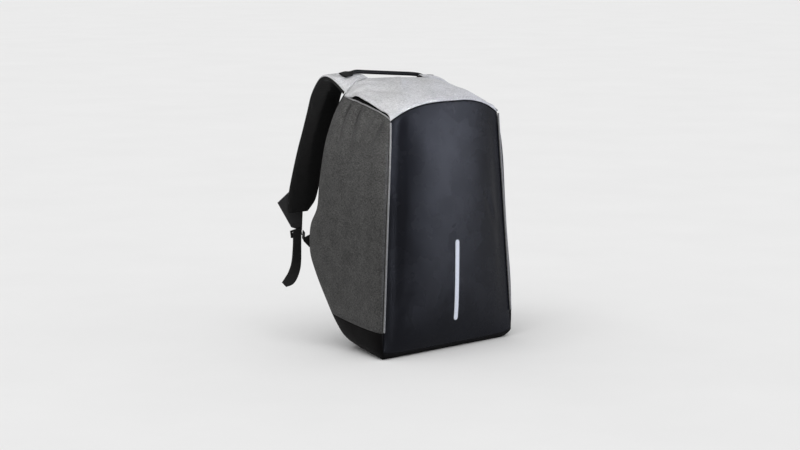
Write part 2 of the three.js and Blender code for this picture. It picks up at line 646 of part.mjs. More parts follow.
// Cloth wing sewn behind the lower end of a strap, seen from the front
const WING_OUTLINE = [
  [-0.35, 0.5], [-0.842, 0.25], [-0.298, -0.389], [0.123, -0.5], [0.158, -0.028], [0.07, 0.361],
];
const STRAPS = { [LEFT]: strapLeft, [RIGHT]: strapRight };
const strapEnd = (side) => STRAPS[side].at(-1).place;
const coverOut = (s) => strapPoint(s, 0, s.thick + GAP + COVER_THICK).y;
const WING_Y = GAP + Math.max(...strapLeft.slice(0, -1).map(coverOut));
function strapWing(side) {
  const shape = new THREE.Shape(WING_OUTLINE.map(([x, z]) =>
    new THREE.Vector2(-side * x * WING_WIDTH, z * WING_HEIGHT)));
  const geometry = new THREE.ExtrudeGeometry(shape, { depth: WING_THICK, bevelEnabled: false });
  geometry.rotateX(Math.PI / 2);
  const end = strapEnd(side);
  geometry.translate(end.x + side * WING_OUT, WING_Y + WING_THICK, end.z + WING_LIFT);
  return geometry;
}

// Ladder lock hanging under the wing
const lockPlace = (side) => {
  const end = strapEnd(side);
  return point(end.x + side * LOCK_OUT, WING_Y - LOCK_THICK / 2 - GAP, end.z - LOCK_DROP);
};
function ladderLock(side) {
  const [w, h] = [LOCK_WIDTH / 2, LOCK_HEIGHT / 2];
  const shape = new THREE.Shape([[-w, -h], [w, -h], [w, h], [-w, h]].map(([x, y]) => new THREE.Vector2(x, y)));
  const slot = (low, high) => new THREE.Path(
    [[-w + LOCK_BAR, low], [-w + LOCK_BAR, high], [w - LOCK_BAR, high], [w - LOCK_BAR, low]]
      .map(([x, y]) => new THREE.Vector2(x, y)));
  shape.holes.push(slot(-h + LOCK_BAR, -LOCK_SLOT), slot(LOCK_SLOT, h - LOCK_BAR));
  const geometry = new THREE.ExtrudeGeometry(shape, { depth: LOCK_THICK, bevelEnabled: false });
  geometry.rotateX(Math.PI / 2);
  geometry.rotateY(side * 0.15);
  const place = lockPlace(side);
  geometry.translate(place.x, place.y + LOCK_THICK / 2, place.z);
  return geometry;
}

// Webbing through a row of places, each with its own width direction
function webbing(side, stations) {
  return loft(stations.map((s, k) => {
    const ahead = stations[Math.min(k + 1, stations.length - 1)].place;
    const behind = stations[Math.max(k - 1, 0)].place;
    const along = ahead.clone().sub(behind).normalize();
    const wide = s.wide.clone().addScaledVector(along, -s.wide.dot(along)).normalize();
    const out = along.clone().cross(wide).normalize();
    return ringAt(s.place, wide, out, flatSection(WEBBING_HALF * s.share, WEBBING_THICK / 2));
  }));
}
const mirrored = (side, x, y, z) => point(side * x, y, z);

// Loose end hanging from the lock, as shares of its length: outwards, down, deeper; then turn and width
const TAIL_ROWS = [
  { out: 0, down: 0, deep: 0, turn: 0, share: 1 },
  { out: 0.005, down: 0.242, deep: 0, turn: 0, share: 1 },
  { out: 0.011, down: 0.411, deep: 0, turn: 0.05, share: 1 },
  { out: 0.021, down: 0.568, deep: -0.002, turn: 0.15, share: 1 },
  { out: 0.058, down: 0.705, deep: 0.008, turn: 0.35, share: 1 },
  { out: 0.137, down: 0.842, deep: 0.019, turn: 0.7, share: 0.95 },
  { out: 0.232, down: 0.926, deep: 0.03, turn: 1.0, share: 0.85 },
  { out: 0.358, down: 0.979, deep: 0.04, turn: 1.2, share: 0.6 },
];
function webbingTail(side) {
  const top = lockPlace(side).add(point(0, -TAIL_DEPTH, LOCK_HEIGHT / 2));
  return webbing(side, TAIL_ROWS.map((r) => ({
    place: top.clone().add(mirrored(side, r.out * TAIL_LENGTH, -r.deep * TAIL_LENGTH, -r.down * TAIL_LENGTH)),
    wide: mirrored(side, Math.cos(r.turn), -Math.sin(r.turn), 0), share: r.share,
  })));
}

// Short webbing from the tab on the side panel up to the lock
const LOWER_ROWS = [
  { along: 0, rise: 0, turn: 0.75 }, { along: 0.35, rise: 0.2, turn: 0.7 },
  { along: 0.7, rise: 0.6, turn: 0.6 }, { along: 1, rise: 1, turn: 0.5 },
];
const rearAtHeight = (side, z) => {
  const shares = steps(200);
  return shares.map((t) => rearSeam(side, t)).reduce((a, b) => (Math.abs(b.z - z) < Math.abs(a.z - z) ? b : a));
};
function sideTab(side) {
  const edge = rearAtHeight(side, TAB_Z);
  const shape = new THREE.Shape([
    [0, -TAB_HALF_HEIGHT], [TAB_DEPTH, -2], [TAB_DEPTH, 4], [0, TAB_HALF_HEIGHT],
  ].map(([a, b]) => new THREE.Vector2(a, b)));
  const geometry = new THREE.ExtrudeGeometry(shape, { depth: WEBBING_THICK, bevelEnabled: false });
  geometry.rotateX(Math.PI / 2);
  geometry.rotateZ(Math.PI / 2);
  geometry.translate(edge.x - WEBBING_THICK / 2, edge.y + TAB_SEAT, edge.z);
  return geometry;
}
function lowerWebbing(side) {
  const edge = rearAtHeight(side, TAB_Z);
  const start = point(edge.x, edge.y + TAB_SEAT + TAB_DEPTH + TAB_LOOSE, edge.z + 1);
  const end = lockPlace(side).add(mirrored(side, -LOCK_WIDTH / 2 - LINK_GAP, -TAIL_DEPTH + GAP, 1));
  return webbing(side, LOWER_ROWS.map((r) => ({
    place: point(mix(start.x, end.x, r.along), mix(start.y, end.y, r.along), mix(start.z, end.z, r.rise)),
    wide: mirrored(side, 0.7 * r.turn, 0.3, 0.9), share: 0.5,
  })));
}

// Colours and materials
const cloth = (color, roughness = 0.9) => new THREE.MeshStandardMaterial({ color, roughness });
const LIGHT_GREY = 0xb4b4b6;
const MID_GREY = 0x5c5c5c;
const DARK_CLOTH = 0x303138;
const BLACK = 0x161616;
const SILVER = 0xd6d8de;

const bag = new THREE.Group();
bag.name = "anti_theft_backpack";
function add(name, geometry, material) {
  const mesh = new THREE.Mesh(geometry, material);
  mesh.name = name;
  bag.add(mesh);
}

const topSlot = (index) => {
  const [row, column] = [Math.floor(index / (ACROSS + 1)), index % (ACROSS + 1)];
  return column === 0 || column === ACROSS ? slotShape(SIDE_SHARES[row]) : 0;
};
add("front_panel", clothPanel(nets.front, CLOTH), cloth(DARK_CLOTH, 0.5));
add("top_panel", clothPanel(nets.top, CLOTH, SEAM_INSET, topSlot), cloth(LIGHT_GREY));
add("side_panel_left", clothPanel(nets.left, CLOTH), cloth(MID_GREY));
add("side_panel_right", clothPanel(nets.right, CLOTH), cloth(MID_GREY));
add("back_panel", clothPanel(nets.back, BACK_PAD, BACK_INSET), cloth(BLACK));
add("base", clothPanel(nets.base, BASE_CLOTH), cloth(BLACK, 0.6));
add("reflective_strip", reflectiveStrip(), cloth(SILVER, 0.4));
for (const [side, word, strap] of [[LEFT, "left", strapLeft], [RIGHT, "right", strapRight]]) {
  add(`front_piping_${word}`, frontPiping(side), cloth(LIGHT_GREY));
  add(`top_piping_${word}`, topPiping(side), cloth(LIGHT_GREY));
  add(`zip_tape_${word}`, zipTape(side), cloth(BLACK));
  add(`shoulder_strap_${word}`, shoulderStrap(side, strap), cloth(BLACK));
  add(`strap_cover_${word}`, strapCover(side, strap), cloth(LIGHT_GREY));
  add(`strap_wing_${word}`, strapWing(side), cloth(DARK_CLOTH));
  add(`ladder_lock_${word}`, ladderLock(side), cloth(BLACK, 0.45));
  add(`webbing_tail_${word}`, webbingTail(side), cloth(BLACK));
  add(`lower_webbing_${word}`, lowerWebbing(side), cloth(BLACK));
  add(`side_tab_${word}`, sideTab(side), cloth(BLACK));
}
add("handle", handle(), cloth(BLACK, 0.7));

export default bag;
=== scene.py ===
"""Looks of the anti theft backpack: cloth panels, padded straps, trim, materials, camera and light."""
import math

import bpy
import numpy as np
from mathutils import Matrix, Vector


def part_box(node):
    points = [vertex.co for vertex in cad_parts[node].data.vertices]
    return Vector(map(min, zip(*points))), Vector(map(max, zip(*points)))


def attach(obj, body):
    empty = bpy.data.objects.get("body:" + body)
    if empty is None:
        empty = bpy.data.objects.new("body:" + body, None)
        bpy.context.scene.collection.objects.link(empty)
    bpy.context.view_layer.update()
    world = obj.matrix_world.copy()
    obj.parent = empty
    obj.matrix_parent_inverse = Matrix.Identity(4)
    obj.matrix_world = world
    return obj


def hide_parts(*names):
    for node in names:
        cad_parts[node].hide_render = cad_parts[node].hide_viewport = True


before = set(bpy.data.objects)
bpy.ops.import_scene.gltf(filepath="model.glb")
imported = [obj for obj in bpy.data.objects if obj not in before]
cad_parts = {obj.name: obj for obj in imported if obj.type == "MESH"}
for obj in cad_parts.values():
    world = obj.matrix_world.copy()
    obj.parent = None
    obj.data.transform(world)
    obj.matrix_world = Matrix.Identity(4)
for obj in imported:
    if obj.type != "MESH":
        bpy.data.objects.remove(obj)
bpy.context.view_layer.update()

# Sizes in millimetres: the CAD part's, apart from the foot's outline and the soft details
MM = 0.001
FRONT_Y, FRONT_LEAN = -66, 11
FRONT_HALF_LOW, FRONT_HALF_HIGH, FRONT_DOME = 155, 127, 14
CORNER_HEIGHT, FOOT_SEAM_HEIGHT, FOOT_SEAM_DIP = 399, 13, 5
ARCH_RISE, ARCH_BOW, ARCH_POWER = 28, 10, 3
TIP_HALF, TIP_Y, TIP_HEIGHT, TIP_TILT = 133, 54, 430, 5
REAR_RISE, REAR_POWER, REAR_BOW = 29, 6, 20
TOP_RISE_POWER, TOP_SIDE_BOW = 0.62, 3
SIDE_BULGE_LOW, SIDE_BULGE_HIGH, SIDE_WRAP, WRAP_SHARE, BULGE_POWER = 8, 14, 8, 0.08, 8
BASE_FRONT_HEIGHT, BASE_REAR_HEIGHT, BASE_REAR_Y, BASE_REAR_HALF, BASE_REAR_BOW = 46, 63, 78, 142, 8
LEFT, RIGHT = -1, 1
FOOT_FRONT_HALF = {LEFT: 149, RIGHT: 140}
FOOT_FRONT_Y, FOOT_REAR_Y, FOOT_REAR_HALF, FOOT_CORNER, FOOT_REAR_BOW = -58, 84, 94, 8, 37
SOLE_REAR_Y, SOLE_REAR_HALF, SOLE_REAR_HEIGHT = 68, 128, 28
SOLE_BULGE, SOLE_ROUND, SOLE_REAR_BOW, BASE_PUFF = 5, 0.45, 17, 0.8
CLOTH, BACK_PAD, BASE_CLOTH, GAP, SEAM_INSET = 2.4, 7, 3, 0.35, 0.24
BACK_CROWN, BACK_PUFF, CHANNEL_DEPTH, SPINE_DEPTH = 6, 3.2, 4, 3.2
CHANNEL_PITCH, CHANNEL_WIDTH = 4 / 18, 0.012
TOP_CROWN, FOLD_FADE = 5, 0.035
PIPING_RADIUS, TOP_PIPING_RADIUS, ARCH_SEAM_RADIUS, ARCH_SEAM_LIFT = 1.7, 1.25, 0.75, 0.2
STRIP_CENTRE_X, STRIP_WIDTH, STRIP_LOW, STRIP_HIGH, STRIP_THICK = 6, 9.4, 50, 190, 0.8
SLOT_LIFT, SLOT_INSET, TAPE_WING, TAPE_THICK, TAPE_SAG = 10.5, 2, 8, 1.2, 0.5
STRAP_HALF_THICK, COVER_THICK, COVER_EDGE, RIGHT_CREST_DROP = 4.6, 1.2, 0.92, 20
HANDLE_RISE, HANDLE_RADIUS, HANDLE_TAB_HALF, HANDLE_TAB_THICK, TAB_LIFT = 1.5, 3.5, 9, 1.3, 1.6
WEBBING_HALF, WEBBING_THICK = 9.5, 1.6
LOCK_WIDTH, LOCK_HEIGHT, LOCK_THICK, LOCK_DROP, LOCK_OUT = 24, 13, 3.6, 36.7, 2.7
TAIL_LENGTH, TAIL_DEPTH = 95, 3.05
TAB_Z, TAB_DEPTH, TAB_SEAT, TAB_LOOSE, LINK_GAP = 182, 15, 0.4, 1.1, 3.6
LINK_SHARE = 0.36
WING_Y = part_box("strap_wing_left")[0][1] / MM
KNEE_DEPTH = 47
STRAP_WIDTH, STRAP_REACH, STRAP_RISE, ROOT_BACK, ROOT_LIFT = 69, 104, 206, 1.9, 1.6

# How far the strap's face runs into the top seam, and over how many rows
ROOT_TUCK, TUCK_ROWS = 5.5, 5
COVER_SHORT_ROWS, THREAD_INSET, QUILT = 8, 0.07, 0.014
WORDS = {LEFT: "left", RIGHT: "right"}
Z = np.array([0.0, 0.0, 1.0])


# Small helpers for points
def mix(a, b, t):
    return a + (b - a) * t


def xyz(x, y, z):
    return np.stack(np.broadcast_arrays(*[np.asarray(c, float) for c in (x, y, z)]), -1)


def unit(v):
    return v / np.maximum(np.linalg.norm(v, axis=-1, keepdims=True), 1e-9)


def spline(rows, count, start=0.0, end=1.0):
    """Smooth rows through the given rows, evenly in their index."""
    rows = np.asarray(rows, float)
    last = len(rows) - 1
    k = np.linspace(start * last, end * last, count)
    i = np.minimum(k.astype(int), last - 1)
    t = (k - i)[:, None]
    shape = rows.reshape(len(rows), -1)
    before = np.where((i > 0)[:, None], shape[np.maximum(i - 1, 0)], 2 * shape[i] - shape[i + 1])
    after = np.where((i + 2 <= last)[:, None], shape[np.minimum(i + 2, last)], 2 * shape[i + 1] - shape[i])
    a, b = shape[i], shape[i + 1]
    smooth = 0.5 * (2 * a + (b - before) * t + (2 * before - 5 * a + 4 * b - after) * t ** 2
                    + (3 * a - before - 3 * b + after) * t ** 3)
    return smooth.reshape((count,) + rows.shape[1:])


def at_shares(points, wanted, at=None):
    """Places between the rows of points; at has each row's share, or they are evenly spaced."""
    at = np.linspace(0, 1, len(points)) if at is None else at
    return np.stack([np.interp(wanted, at, points[:, k]) for k in range(3)], -1)


def by_length(points, wanted):
    """Places on a line of points at the given shares of its length."""
    steps = np.linalg.norm(np.diff(points, axis=0), axis=1)
    at = np.concatenate([[0], np.cumsum(steps)]) / steps.sum()
    return at_shares(points, wanted, at)


def bump(t, middle, width):
    return np.exp(-(((t - middle) / width) ** 2))


# Seams, as in the part
def front_half(z):
    return mix(FRONT_HALF_LOW, FRONT_HALF_HIGH, (z - FOOT_SEAM_HEIGHT) / (CORNER_HEIGHT - FOOT_SEAM_HEIGHT))


def front_seam_at(side, z):
    return xyz(side * front_half(z), FRONT_Y + FRONT_LEAN * z / CORNER_HEIGHT, z)


def front_seam_low(side, t):
    return front_seam_at(side, mix(FOOT_SEAM_HEIGHT, BASE_FRONT_HEIGHT, t))


def front_seam_high(side, t):
    return front_seam_at(side, mix(BASE_FRONT_HEIGHT, CORNER_HEIGHT, t))


def foot_seam(t):
    x = mix(-front_half(FOOT_SEAM_HEIGHT), front_half(FOOT_SEAM_HEIGHT), t)
    y = FRONT_Y + FRONT_LEAN * FOOT_SEAM_HEIGHT / CORNER_HEIGHT
    return xyz(x, y, FOOT_SEAM_HEIGHT - FOOT_SEAM_DIP * (1 - (2 * t - 1) ** 8))


def arch_seam(t):
    s = 2 * t - 1
    corner = front_seam_at(RIGHT, CORNER_HEIGHT)
    return xyz(corner[0] * s, corner[1] - ARCH_BOW * (1 - s * s),
               CORNER_HEIGHT + ARCH_RISE * (1 - abs(s) ** ARCH_POWER))


def rear_top_seam(t):
    s = 2 * t - 1
    return xyz(TIP_HALF * s, TIP_Y + REAR_BOW * (1 - s * s),
               TIP_HEIGHT + REAR_RISE * (1 - abs(s) ** REAR_POWER) - TIP_TILT * s)


def top_side_seam(side, t):
    front = front_seam_at(side, CORNER_HEIGHT)
    tip = rear_top_seam(0.0 if side == LEFT else 1.0)
    return xyz(mix(front[0], tip[0], t) + side * TOP_SIDE_BOW * np.sin(np.pi * t),
               mix(front[1], tip[1], t), mix(front[2], tip[2], t ** TOP_RISE_POWER))


# Rear edge of a side panel: shares of the half width, the knee's depth and the height
REAR_EDGE = [
    (1.0, 0.0, 0.0), (1.046, 0.75, 0.19), (1.054, 0.98, 0.27), (1.056, 0.93, 0.395),
    (1.046, 0.6, 0.48), (1.035, 0.5, 0.6), (1.007, 0.23, 0.795), (0.965, -0.14, 0.93),
]


def centripetal(points, per=40):
    """Centripetal spline through points."""
    ext = np.vstack([2 * points[0] - points[1], points, 2 * points[-1] - points[-2]])
    out = []
    for k in range(len(points) - 1):
        p0, p1, p2, p3 = ext[k:k + 4]
        d = [max(np.linalg.norm(b - a) ** 0.5, 1e-4) for a, b in ((p0, p1), (p1, p2), (p2, p3))]
        m1 = ((p1 - p0) / d[0] - (p2 - p0) / (d[0] + d[1]) + (p2 - p1) / d[1]) * d[1]
        m2 = ((p2 - p1) / d[1] - (p3 - p1) / (d[1] + d[2]) + (p3 - p2) / d[2]) * d[1]
        t = np.linspace(0, 1, per, endpoint=k == len(points) - 2)[:, None]
        out.append((2 * t ** 3 - 3 * t ** 2 + 1) * p1 + (t ** 3 - 2 * t ** 2 + t) * m1
                   + (3 * t ** 2 - 2 * t ** 3) * p2 + (t ** 3 - t ** 2) * m2)
    return np.vstack(out)


def rear_line(side):
    tip = rear_top_seam(0.0 if side == LEFT else 1.0)
    rows = [[side * BASE_REAR_HALF * h, BASE_REAR_Y + KNEE_DEPTH * d, mix(BASE_REAR_HEIGHT, tip[2], r)]
            for h, d, r in REAR_EDGE]
    return centripetal(np.array(rows + [tip.tolist()]))


REAR_LINES = {side: rear_line(side) for side in WORDS}


def rear_seam(side, t):
    return by_length(REAR_LINES[side], t)


def wrap_bump(s):
    return (s / WRAP_SHARE) * np.exp(1 - s / WRAP_SHARE)


def round_bulge(s):
    return 1 - abs(2 * s - 1) ** BULGE_POWER


def edge_fade(v):
    return (1 - v ** 7) * (1 - (1 - v) ** 8)


def base_side_seam(side, t):
    y0 = front_seam_at(side, BASE_FRONT_HEIGHT)[1]
    x = mix(FRONT_HALF_LOW, BASE_REAR_HALF, t) + SIDE_BULGE_LOW * round_bulge(t)
    x = np.where(t < 1e-6, front_half(BASE_FRONT_HEIGHT), x)
    return xyz(side * x, mix(y0, BASE_REAR_Y, t) - SIDE_WRAP * 0.6 * wrap_bump(t) * (1 - t),
               mix(BASE_FRONT_HEIGHT, BASE_REAR_HEIGHT, t ** 1.4))


def base_rear_seam(t):
    s = 2 * t - 1
    return xyz(BASE_REAR_HALF * s, BASE_REAR_Y + BASE_REAR_BOW * (1 - s * s), BASE_REAR_HEIGHT)


# How far the hem of the top panel stands off the zip: share along the seam, share of the lift
SLOT_ROWS = [
    (0, 0), (0.03, 0.42), (0.09, 0.62), (0.15, 0.5), (0.2, 0.38), (0.28, 0.55), (0.42, 0.72), (0.58, 0.88),
    (0.69, 1.0), (0.77, 0.85), (0.83, 0.35), (0.9, 0.12), (1, 0),
]
SLOT_COLUMN = 1 / 16


def slot_shape(t):
    at, lift = np.array(SLOT_ROWS).T
    near = np.linspace(-0.02, 0.02, 9)
    return np.mean([np.interp(t + d, at, lift) for d in near], axis=0)


def coons(low, high, first, last, us, vs):
    u, v = us[None, :, None], vs[:, None, None]
    p = (1 - v) * low[None] + v * high[None] + (1 - u) * first[:, None] + u * last[:, None]
    return p - ((1 - u) * (1 - v) * low[0] + u * (1 - v) * low[-1] + (1 - u) * v * high[0] + u * v * high[-1])


def shares(count, edge=0.0035):
    """Shares from 0 to 1 with a close pair at each end, for a rounded hem."""
    return np.concatenate([[0, edge], np.linspace(0, 1, count)[1:-1], [1 - edge, 1]])


def inside_only(u, v):
    return (u > 0) & (u < 1) & (v > 0) & (v < 1)


# Panels as grids of outer points; fold gives cloth wrinkles along the normal
def grid_normals(grid):
    du, dv = np.gradient(grid, axis=1), np.gradient(grid, axis=0)
    return unit(np.cross(du, dv))


def folded(grid, us, vs, fold):
    u, v = np.meshgrid(us, vs)
    fade = np.clip(np.minimum.reduce([u, 1 - u, v, 1 - v]) / FOLD_FADE, 0, 1)
    fade = fade * fade * (3 - 2 * fade)
    return grid + grid_normals(grid) * (fold(u, v) * fade)[..., None]


def front_grid():
    us, vs = shares(90), shares(120, 0.0028)
    z = mix(FOOT_SEAM_HEIGHT, CORNER_HEIGHT, vs)
    grid = coons(foot_seam(us), arch_seam(us), front_seam_at(LEFT, z), front_seam_at(RIGHT, z), us, vs)
    u, v = np.meshgrid(us, vs)
    dome = FRONT_DOME * (1 - abs(2 * u - 1) ** 2.5) * (1 - (1 - v) ** 12) * (1 - v ** 5)
    grid[..., 1] -= np.where(inside_only(u, v), dome, 0)
    return folded(grid, us, vs, front_folds)


def top_grid():
    us, vs = shares(80), shares(60, 0.006)
    grid = coons(arch_seam(us), rear_top_seam(us), top_side_seam(LEFT, vs), top_side_seam(RIGHT, vs), us, vs)
    u, v = np.meshgrid(us, vs)
    grid[..., 2] += TOP_CROWN * np.sin(np.pi * u) * np.sin(np.pi * v)
    grid = folded(grid, us, vs, top_folds)
    near = np.clip(1 - np.minimum(u, 1 - u) / SLOT_COLUMN, 0, 1)
    lift = slot_shape(v) * near ** 1.3
    grid[..., 2] += SLOT_LIFT * lift
    grid[..., 0] += np.where(u < 0.5, 1, -1) * SLOT_INSET * lift
    return grid


def side_grid(side):
    us, vs = shares(70, 0.006), shares(120, 0.0028)
    s = 1 - us if side == LEFT else us
    front, rear = front_seam_high(side, vs), rear_seam(side, vs)
    first, last = (rear, front) if side == LEFT else (front, rear)
    grid = coons(base_side_seam(side, s), top_side_seam(side, s), first, last, us, vs)
    u, v = np.meshgrid(us, vs)
    depth = 1 - u if side == LEFT else u
    out = mix(SIDE_BULGE_LOW * 0.5, SIDE_BULGE_HIGH, v) * round_bulge(depth) * edge_fade(v)
    inner = inside_only(u, v)
    grid[..., 0] += np.where(inner, side * out, 0)
    grid[..., 1] -= np.where(inner, SIDE_WRAP * wrap_bump(depth) * (0.3 + 0.7 * v) * edge_fade(v), 0)
    return folded(grid, us, vs, lambda a, b: side_folds(1 - a if side == LEFT else a, b))


def back_grid():
    us, vs = shares(90), shares(130, 0.0028)
    low, high = base_rear_seam(1 - us), rear_top_seam(1 - us)
    grid = coons(low, high, rear_seam(RIGHT, vs), rear_seam(LEFT, vs), us, vs)
    u, v = np.meshgrid(us, vs)
    middle = np.sin(np.pi * np.clip(u, 0, 1)) ** 0.6
    groove = sum(bump(v, row * CHANNEL_PITCH, CHANNEL_WIDTH) for row in (1, 2, 3))
    spine = bump(u, 0.5, 0.02) * (1 - bump(v, 0, 0.08)) * (1 - bump(v, 1, 0.12))
    puff = abs(np.sin(np.pi * v / CHANNEL_PITCH)) ** 0.7 * abs(np.sin(2 * np.pi * u)) ** 0.6
    pad = BACK_CROWN * np.sin(np.pi * v) + BACK_PUFF * puff - CHANNEL_DEPTH * groove - SPINE_DEPTH * spine
    grid[..., 1] += middle * pad
    return folded(grid, us, vs, back_folds)


# Wrinkles of the cloth in millimetres along the normal. Each crease has its height and slope, the place and
# width of its ridge, and the place and reach of its middle along the ridge
def creases(a, b, rows):
    return sum(height * bump(a + slope * b, ridge, width) * bump(b, middle, reach)
               for height, slope, ridge, width, middle, reach in rows)


FRONT_CREASES = [
    (-1.5, 0, 0.07, 0.035, 0.55, 0.5), (-1.2, 0, 0.93, 0.035, 0.6, 0.4), (-0.9, 0.6, 1.17, 0.03, 0.55, 0.06),
    (0.8, 0.6, 1.23, 0.03, 0.55, 0.06), (-0.8, -0.5, 0.02, 0.04, 0.2, 0.07),
]
TOP_CREASES = [(-2.4, 0.25, 0.3, 0.035, 0.55, 0.3), (-2.0, -0.3, 0.38, 0.04, 0.8, 0.2),
               (1.6, -0.5, 0.08, 0.05, 0.6, 0.35)]
TOP_CROSS_CREASES = [(-1.5, 0.15, 0.62, 0.05, 0.62, 0.18)]
SIDE_CREASES = [
    (-4.76, -0.25, 0.53, 0.035, 1, 0.18), (4.2, -0.2, 0.48, 0.045, 1, 0.18),
    (-4.48, -0.15, 0.42, 0.03, 1, 0.18), (2.8, -0.1, 0.37, 0.04, 1, 0.18),
    (-5, 0.9, 1.03, 0.035, 0.93, 0.08), (3.4, 0.9, 1.1, 0.05, 0.93, 0.09),
]
SIDE_CROSS_CREASES = [(-1.5, 0.25, 0.92, 0.03, 0.35, 0.2), (-1.3, -0.35, 0.5, 0.03, 0.95, 0.2)]


def front_folds(u, v):
    waves = 0.6 * np.sin(7 * u + 3 * v) * np.sin(5 * v + 1)
    waves = waves + 0.6 * np.sin(13 * v + 4 * u) * bump(u, 0.12, 0.12)
    return waves + creases(u, v, FRONT_CREASES)


def top_folds(u, v):
    ripple = 0.9 * np.sin(46 * u + 5 * np.sin(7 * v)) * bump(v, 1.0, 0.3)
    waves = 1.6 * np.sin(9 * u + 6 * v) * np.sin(np.pi * v) + 0.7 * np.sin(21 * u - 9 * v)
    return ripple + waves + creases(u, v, TOP_CREASES) + creases(v, u, TOP_CROSS_CREASES)


def side_folds(s, v):
    """s runs from the front edge to the rear edge, v from the base to the top."""
    waves = 1.1 * np.sin(9 * v + 3 * s) * np.sin(5 * s + 1.4)
    waves = waves + 0.6 * np.sin(17 * v - 6 * s) * bump(s, 0.6, 0.3)
    return waves + creases(s, v, SIDE_CREASES) + creases(v, s, SIDE_CROSS_CREASES)


def back_folds(u, v):
    return 0.6 * np.sin(11 * u + 3 * v) * np.sin(9 * v) + 0.4 * np.sin(23 * v) * np.sin(7 * u)


# Meshes
def store(mesh, name, values):
    data = mesh.attributes.new(name, "FLOAT", "POINT").data
    data.foreach_set("value", np.asarray(values, np.float32).ravel())


def piece(name, points, faces, look, nodes=(), values=None):
    """Object that rides on the bag; nodes are the CAD nodes that it replaces."""
    mesh = bpy.data.meshes.new(name)
    mesh.from_pydata((np.asarray(points) * MM).tolist(), [], [list(map(int, f)) for f in faces])
    mesh.polygons.foreach_set("use_smooth", [True] * len(mesh.polygons))
    for key, value in (values or {}).items():
        store(mesh, key, value)
    obj = bpy.data.objects.new(name, mesh)
    bpy.context.collection.objects.link(obj)
    mesh.materials.append(look)
    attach(obj, "root")
    if nodes:
        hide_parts(*nodes)
    return obj


def grid_faces(rows, columns, start=0, flip=False, closed=False):
    wide = columns if closed else columns - 1
    faces = []
    for j in range(rows - 1):
        for i in range(wide):
            n, low, high = (i + 1) % columns, start + j * columns, start + (j + 1) * columns
            f = [low + i, low + n, high + n, high + i]
            faces.append(f[::-1] if flip else f)
    return faces


def shell(grid, thickness, hem=0.7):
    """Outer face, inner face and rim of a cloth panel; the hem is a little rounded."""
    rows, columns = grid.shape[:2]
    normal = grid_normals(grid)
    outer = grid.copy()
    into = np.zeros_like(grid)
    into[0] += unit(grid[2] - grid[0])
    into[-1] += unit(grid[-3] - grid[-1])
    into[:, 0] += unit(grid[:, 2] - grid[:, 0])
    into[:, -1] += unit(grid[:, -3] - grid[:, -1])
    edge = np.linalg.norm(into, axis=-1, keepdims=True) > 0
    outer += np.where(edge, into * SEAM_INSET - normal * hem, 0)
    inner = outer - normal * thickness + np.where(edge, into * thickness * 0.9 + normal * hem, 0)
    count = rows * columns
    faces = grid_faces(rows, columns) + grid_faces(rows, columns, count, flip=True)
    loop = ([i for i in range(columns)] + [j * columns + columns - 1 for j in range(1, rows)]
            + [count - 1 - i for i in range(1, columns)] + [j * columns for j in range(rows - 2, 0, -1)])
    faces += [[b, a, a + count, b + count] for a, b in zip(loop, loop[1:] + loop[:1])]
    return np.vstack([outer.reshape(-1, 3), inner.reshape(-1, 3)]), faces


def loft(rings):
    """Closed body through rings of points."""
    rings = np.asarray(rings)
    rows, count = rings.shape[:2]
    middle = rings.mean(axis=(0, 1))
    faces = grid_faces(rows, count, closed=True)
    faces += [list(range(count))[::-1], [(rows - 1) * count + i for i in range(count)]]
    a, b, c = rings[rows // 2, 0], rings[rows // 2, 1], rings[min(rows // 2 + 1, rows - 1), 0]
    outward = np.dot(np.cross(b - a, c - a), a - rings[rows // 2].mean(axis=0))
    return rings.reshape(-1, 3), faces if outward > 0 else [f[::-1] for f in faces]


def frames_along(points, hint):
    along = unit(np.gradient(points, axis=0))
    wide = hint - (hint * along).sum(-1, keepdims=True) * along
    wide = unit(wide)
    return along, wide, np.cross(along, wide)


def tube(points, hint, radius, sides=10):
    _, wide, out = frames_along(points, hint)
    angle = np.linspace(0, 2 * np.pi, sides, endpoint=False)
    r = np.broadcast_to(np.asarray(radius, float), (len(points),))
    spoke = wide[:, None] * np.cos(angle)[None, :, None] + out[:, None] * np.sin(angle)[None, :, None]
    return points[:, None] + spoke * r[:, None, None]


def stitches(line, normals, pitch=4.2, length=3.0, half=0.42):
    """Small raised stitches along a line on a surface."""
    steps = np.linalg.norm(np.diff(line, axis=0), axis=1)
    at = np.concatenate([[0], np.cumsum(steps)])
    places = np.arange(pitch, at[-1] - pitch, pitch)
    middle, up = at_shares(line, places, at), unit(at_shares(normals, places, at))
    ahead = unit(at_shares(line, places + 1, at) - at_shares(line, places - 1, at))
    wide = np.cross(ahead, up)
    points, faces = [], []
    shape = [(-0.5, 0.35), (-0.32, 0.9), (0.32, 0.9), (0.5, 0.35)]
    for k in range(len(places)):
        start = len(points)
        for a, r in shape:
            centre = middle[k] + ahead[k] * a * length + up[k] * half * 0.35
            points += [centre + wide[k] * half * r, centre + up[k] * half * r, centre - wide[k] * half * r,
                       centre - up[k] * half * r]
        for j in range(3):
            for i in range(4):
                n, low, high = (i + 1) % 4, start + j * 4, start + (j + 1) * 4
                faces.append([low + i, high + i, high + n, low + n])
        faces += [[start, start + 1, start + 2, start + 3], [start + 15, start + 14, start + 13, start + 12]]
    return points, faces


# Materials
def material(name, build):
    mat = bpy.data.materials.new(name)
    mat.use_nodes = True
    tree = mat.node_tree
    tree.nodes.clear()
    out = tree.nodes.new("ShaderNodeOutputMaterial")
    shader = tree.nodes.new("ShaderNodeBsdfPrincipled")
    tree.links.new(shader.outputs[0], out.inputs[0])
    build(Nodes(tree), shader)
    return mat


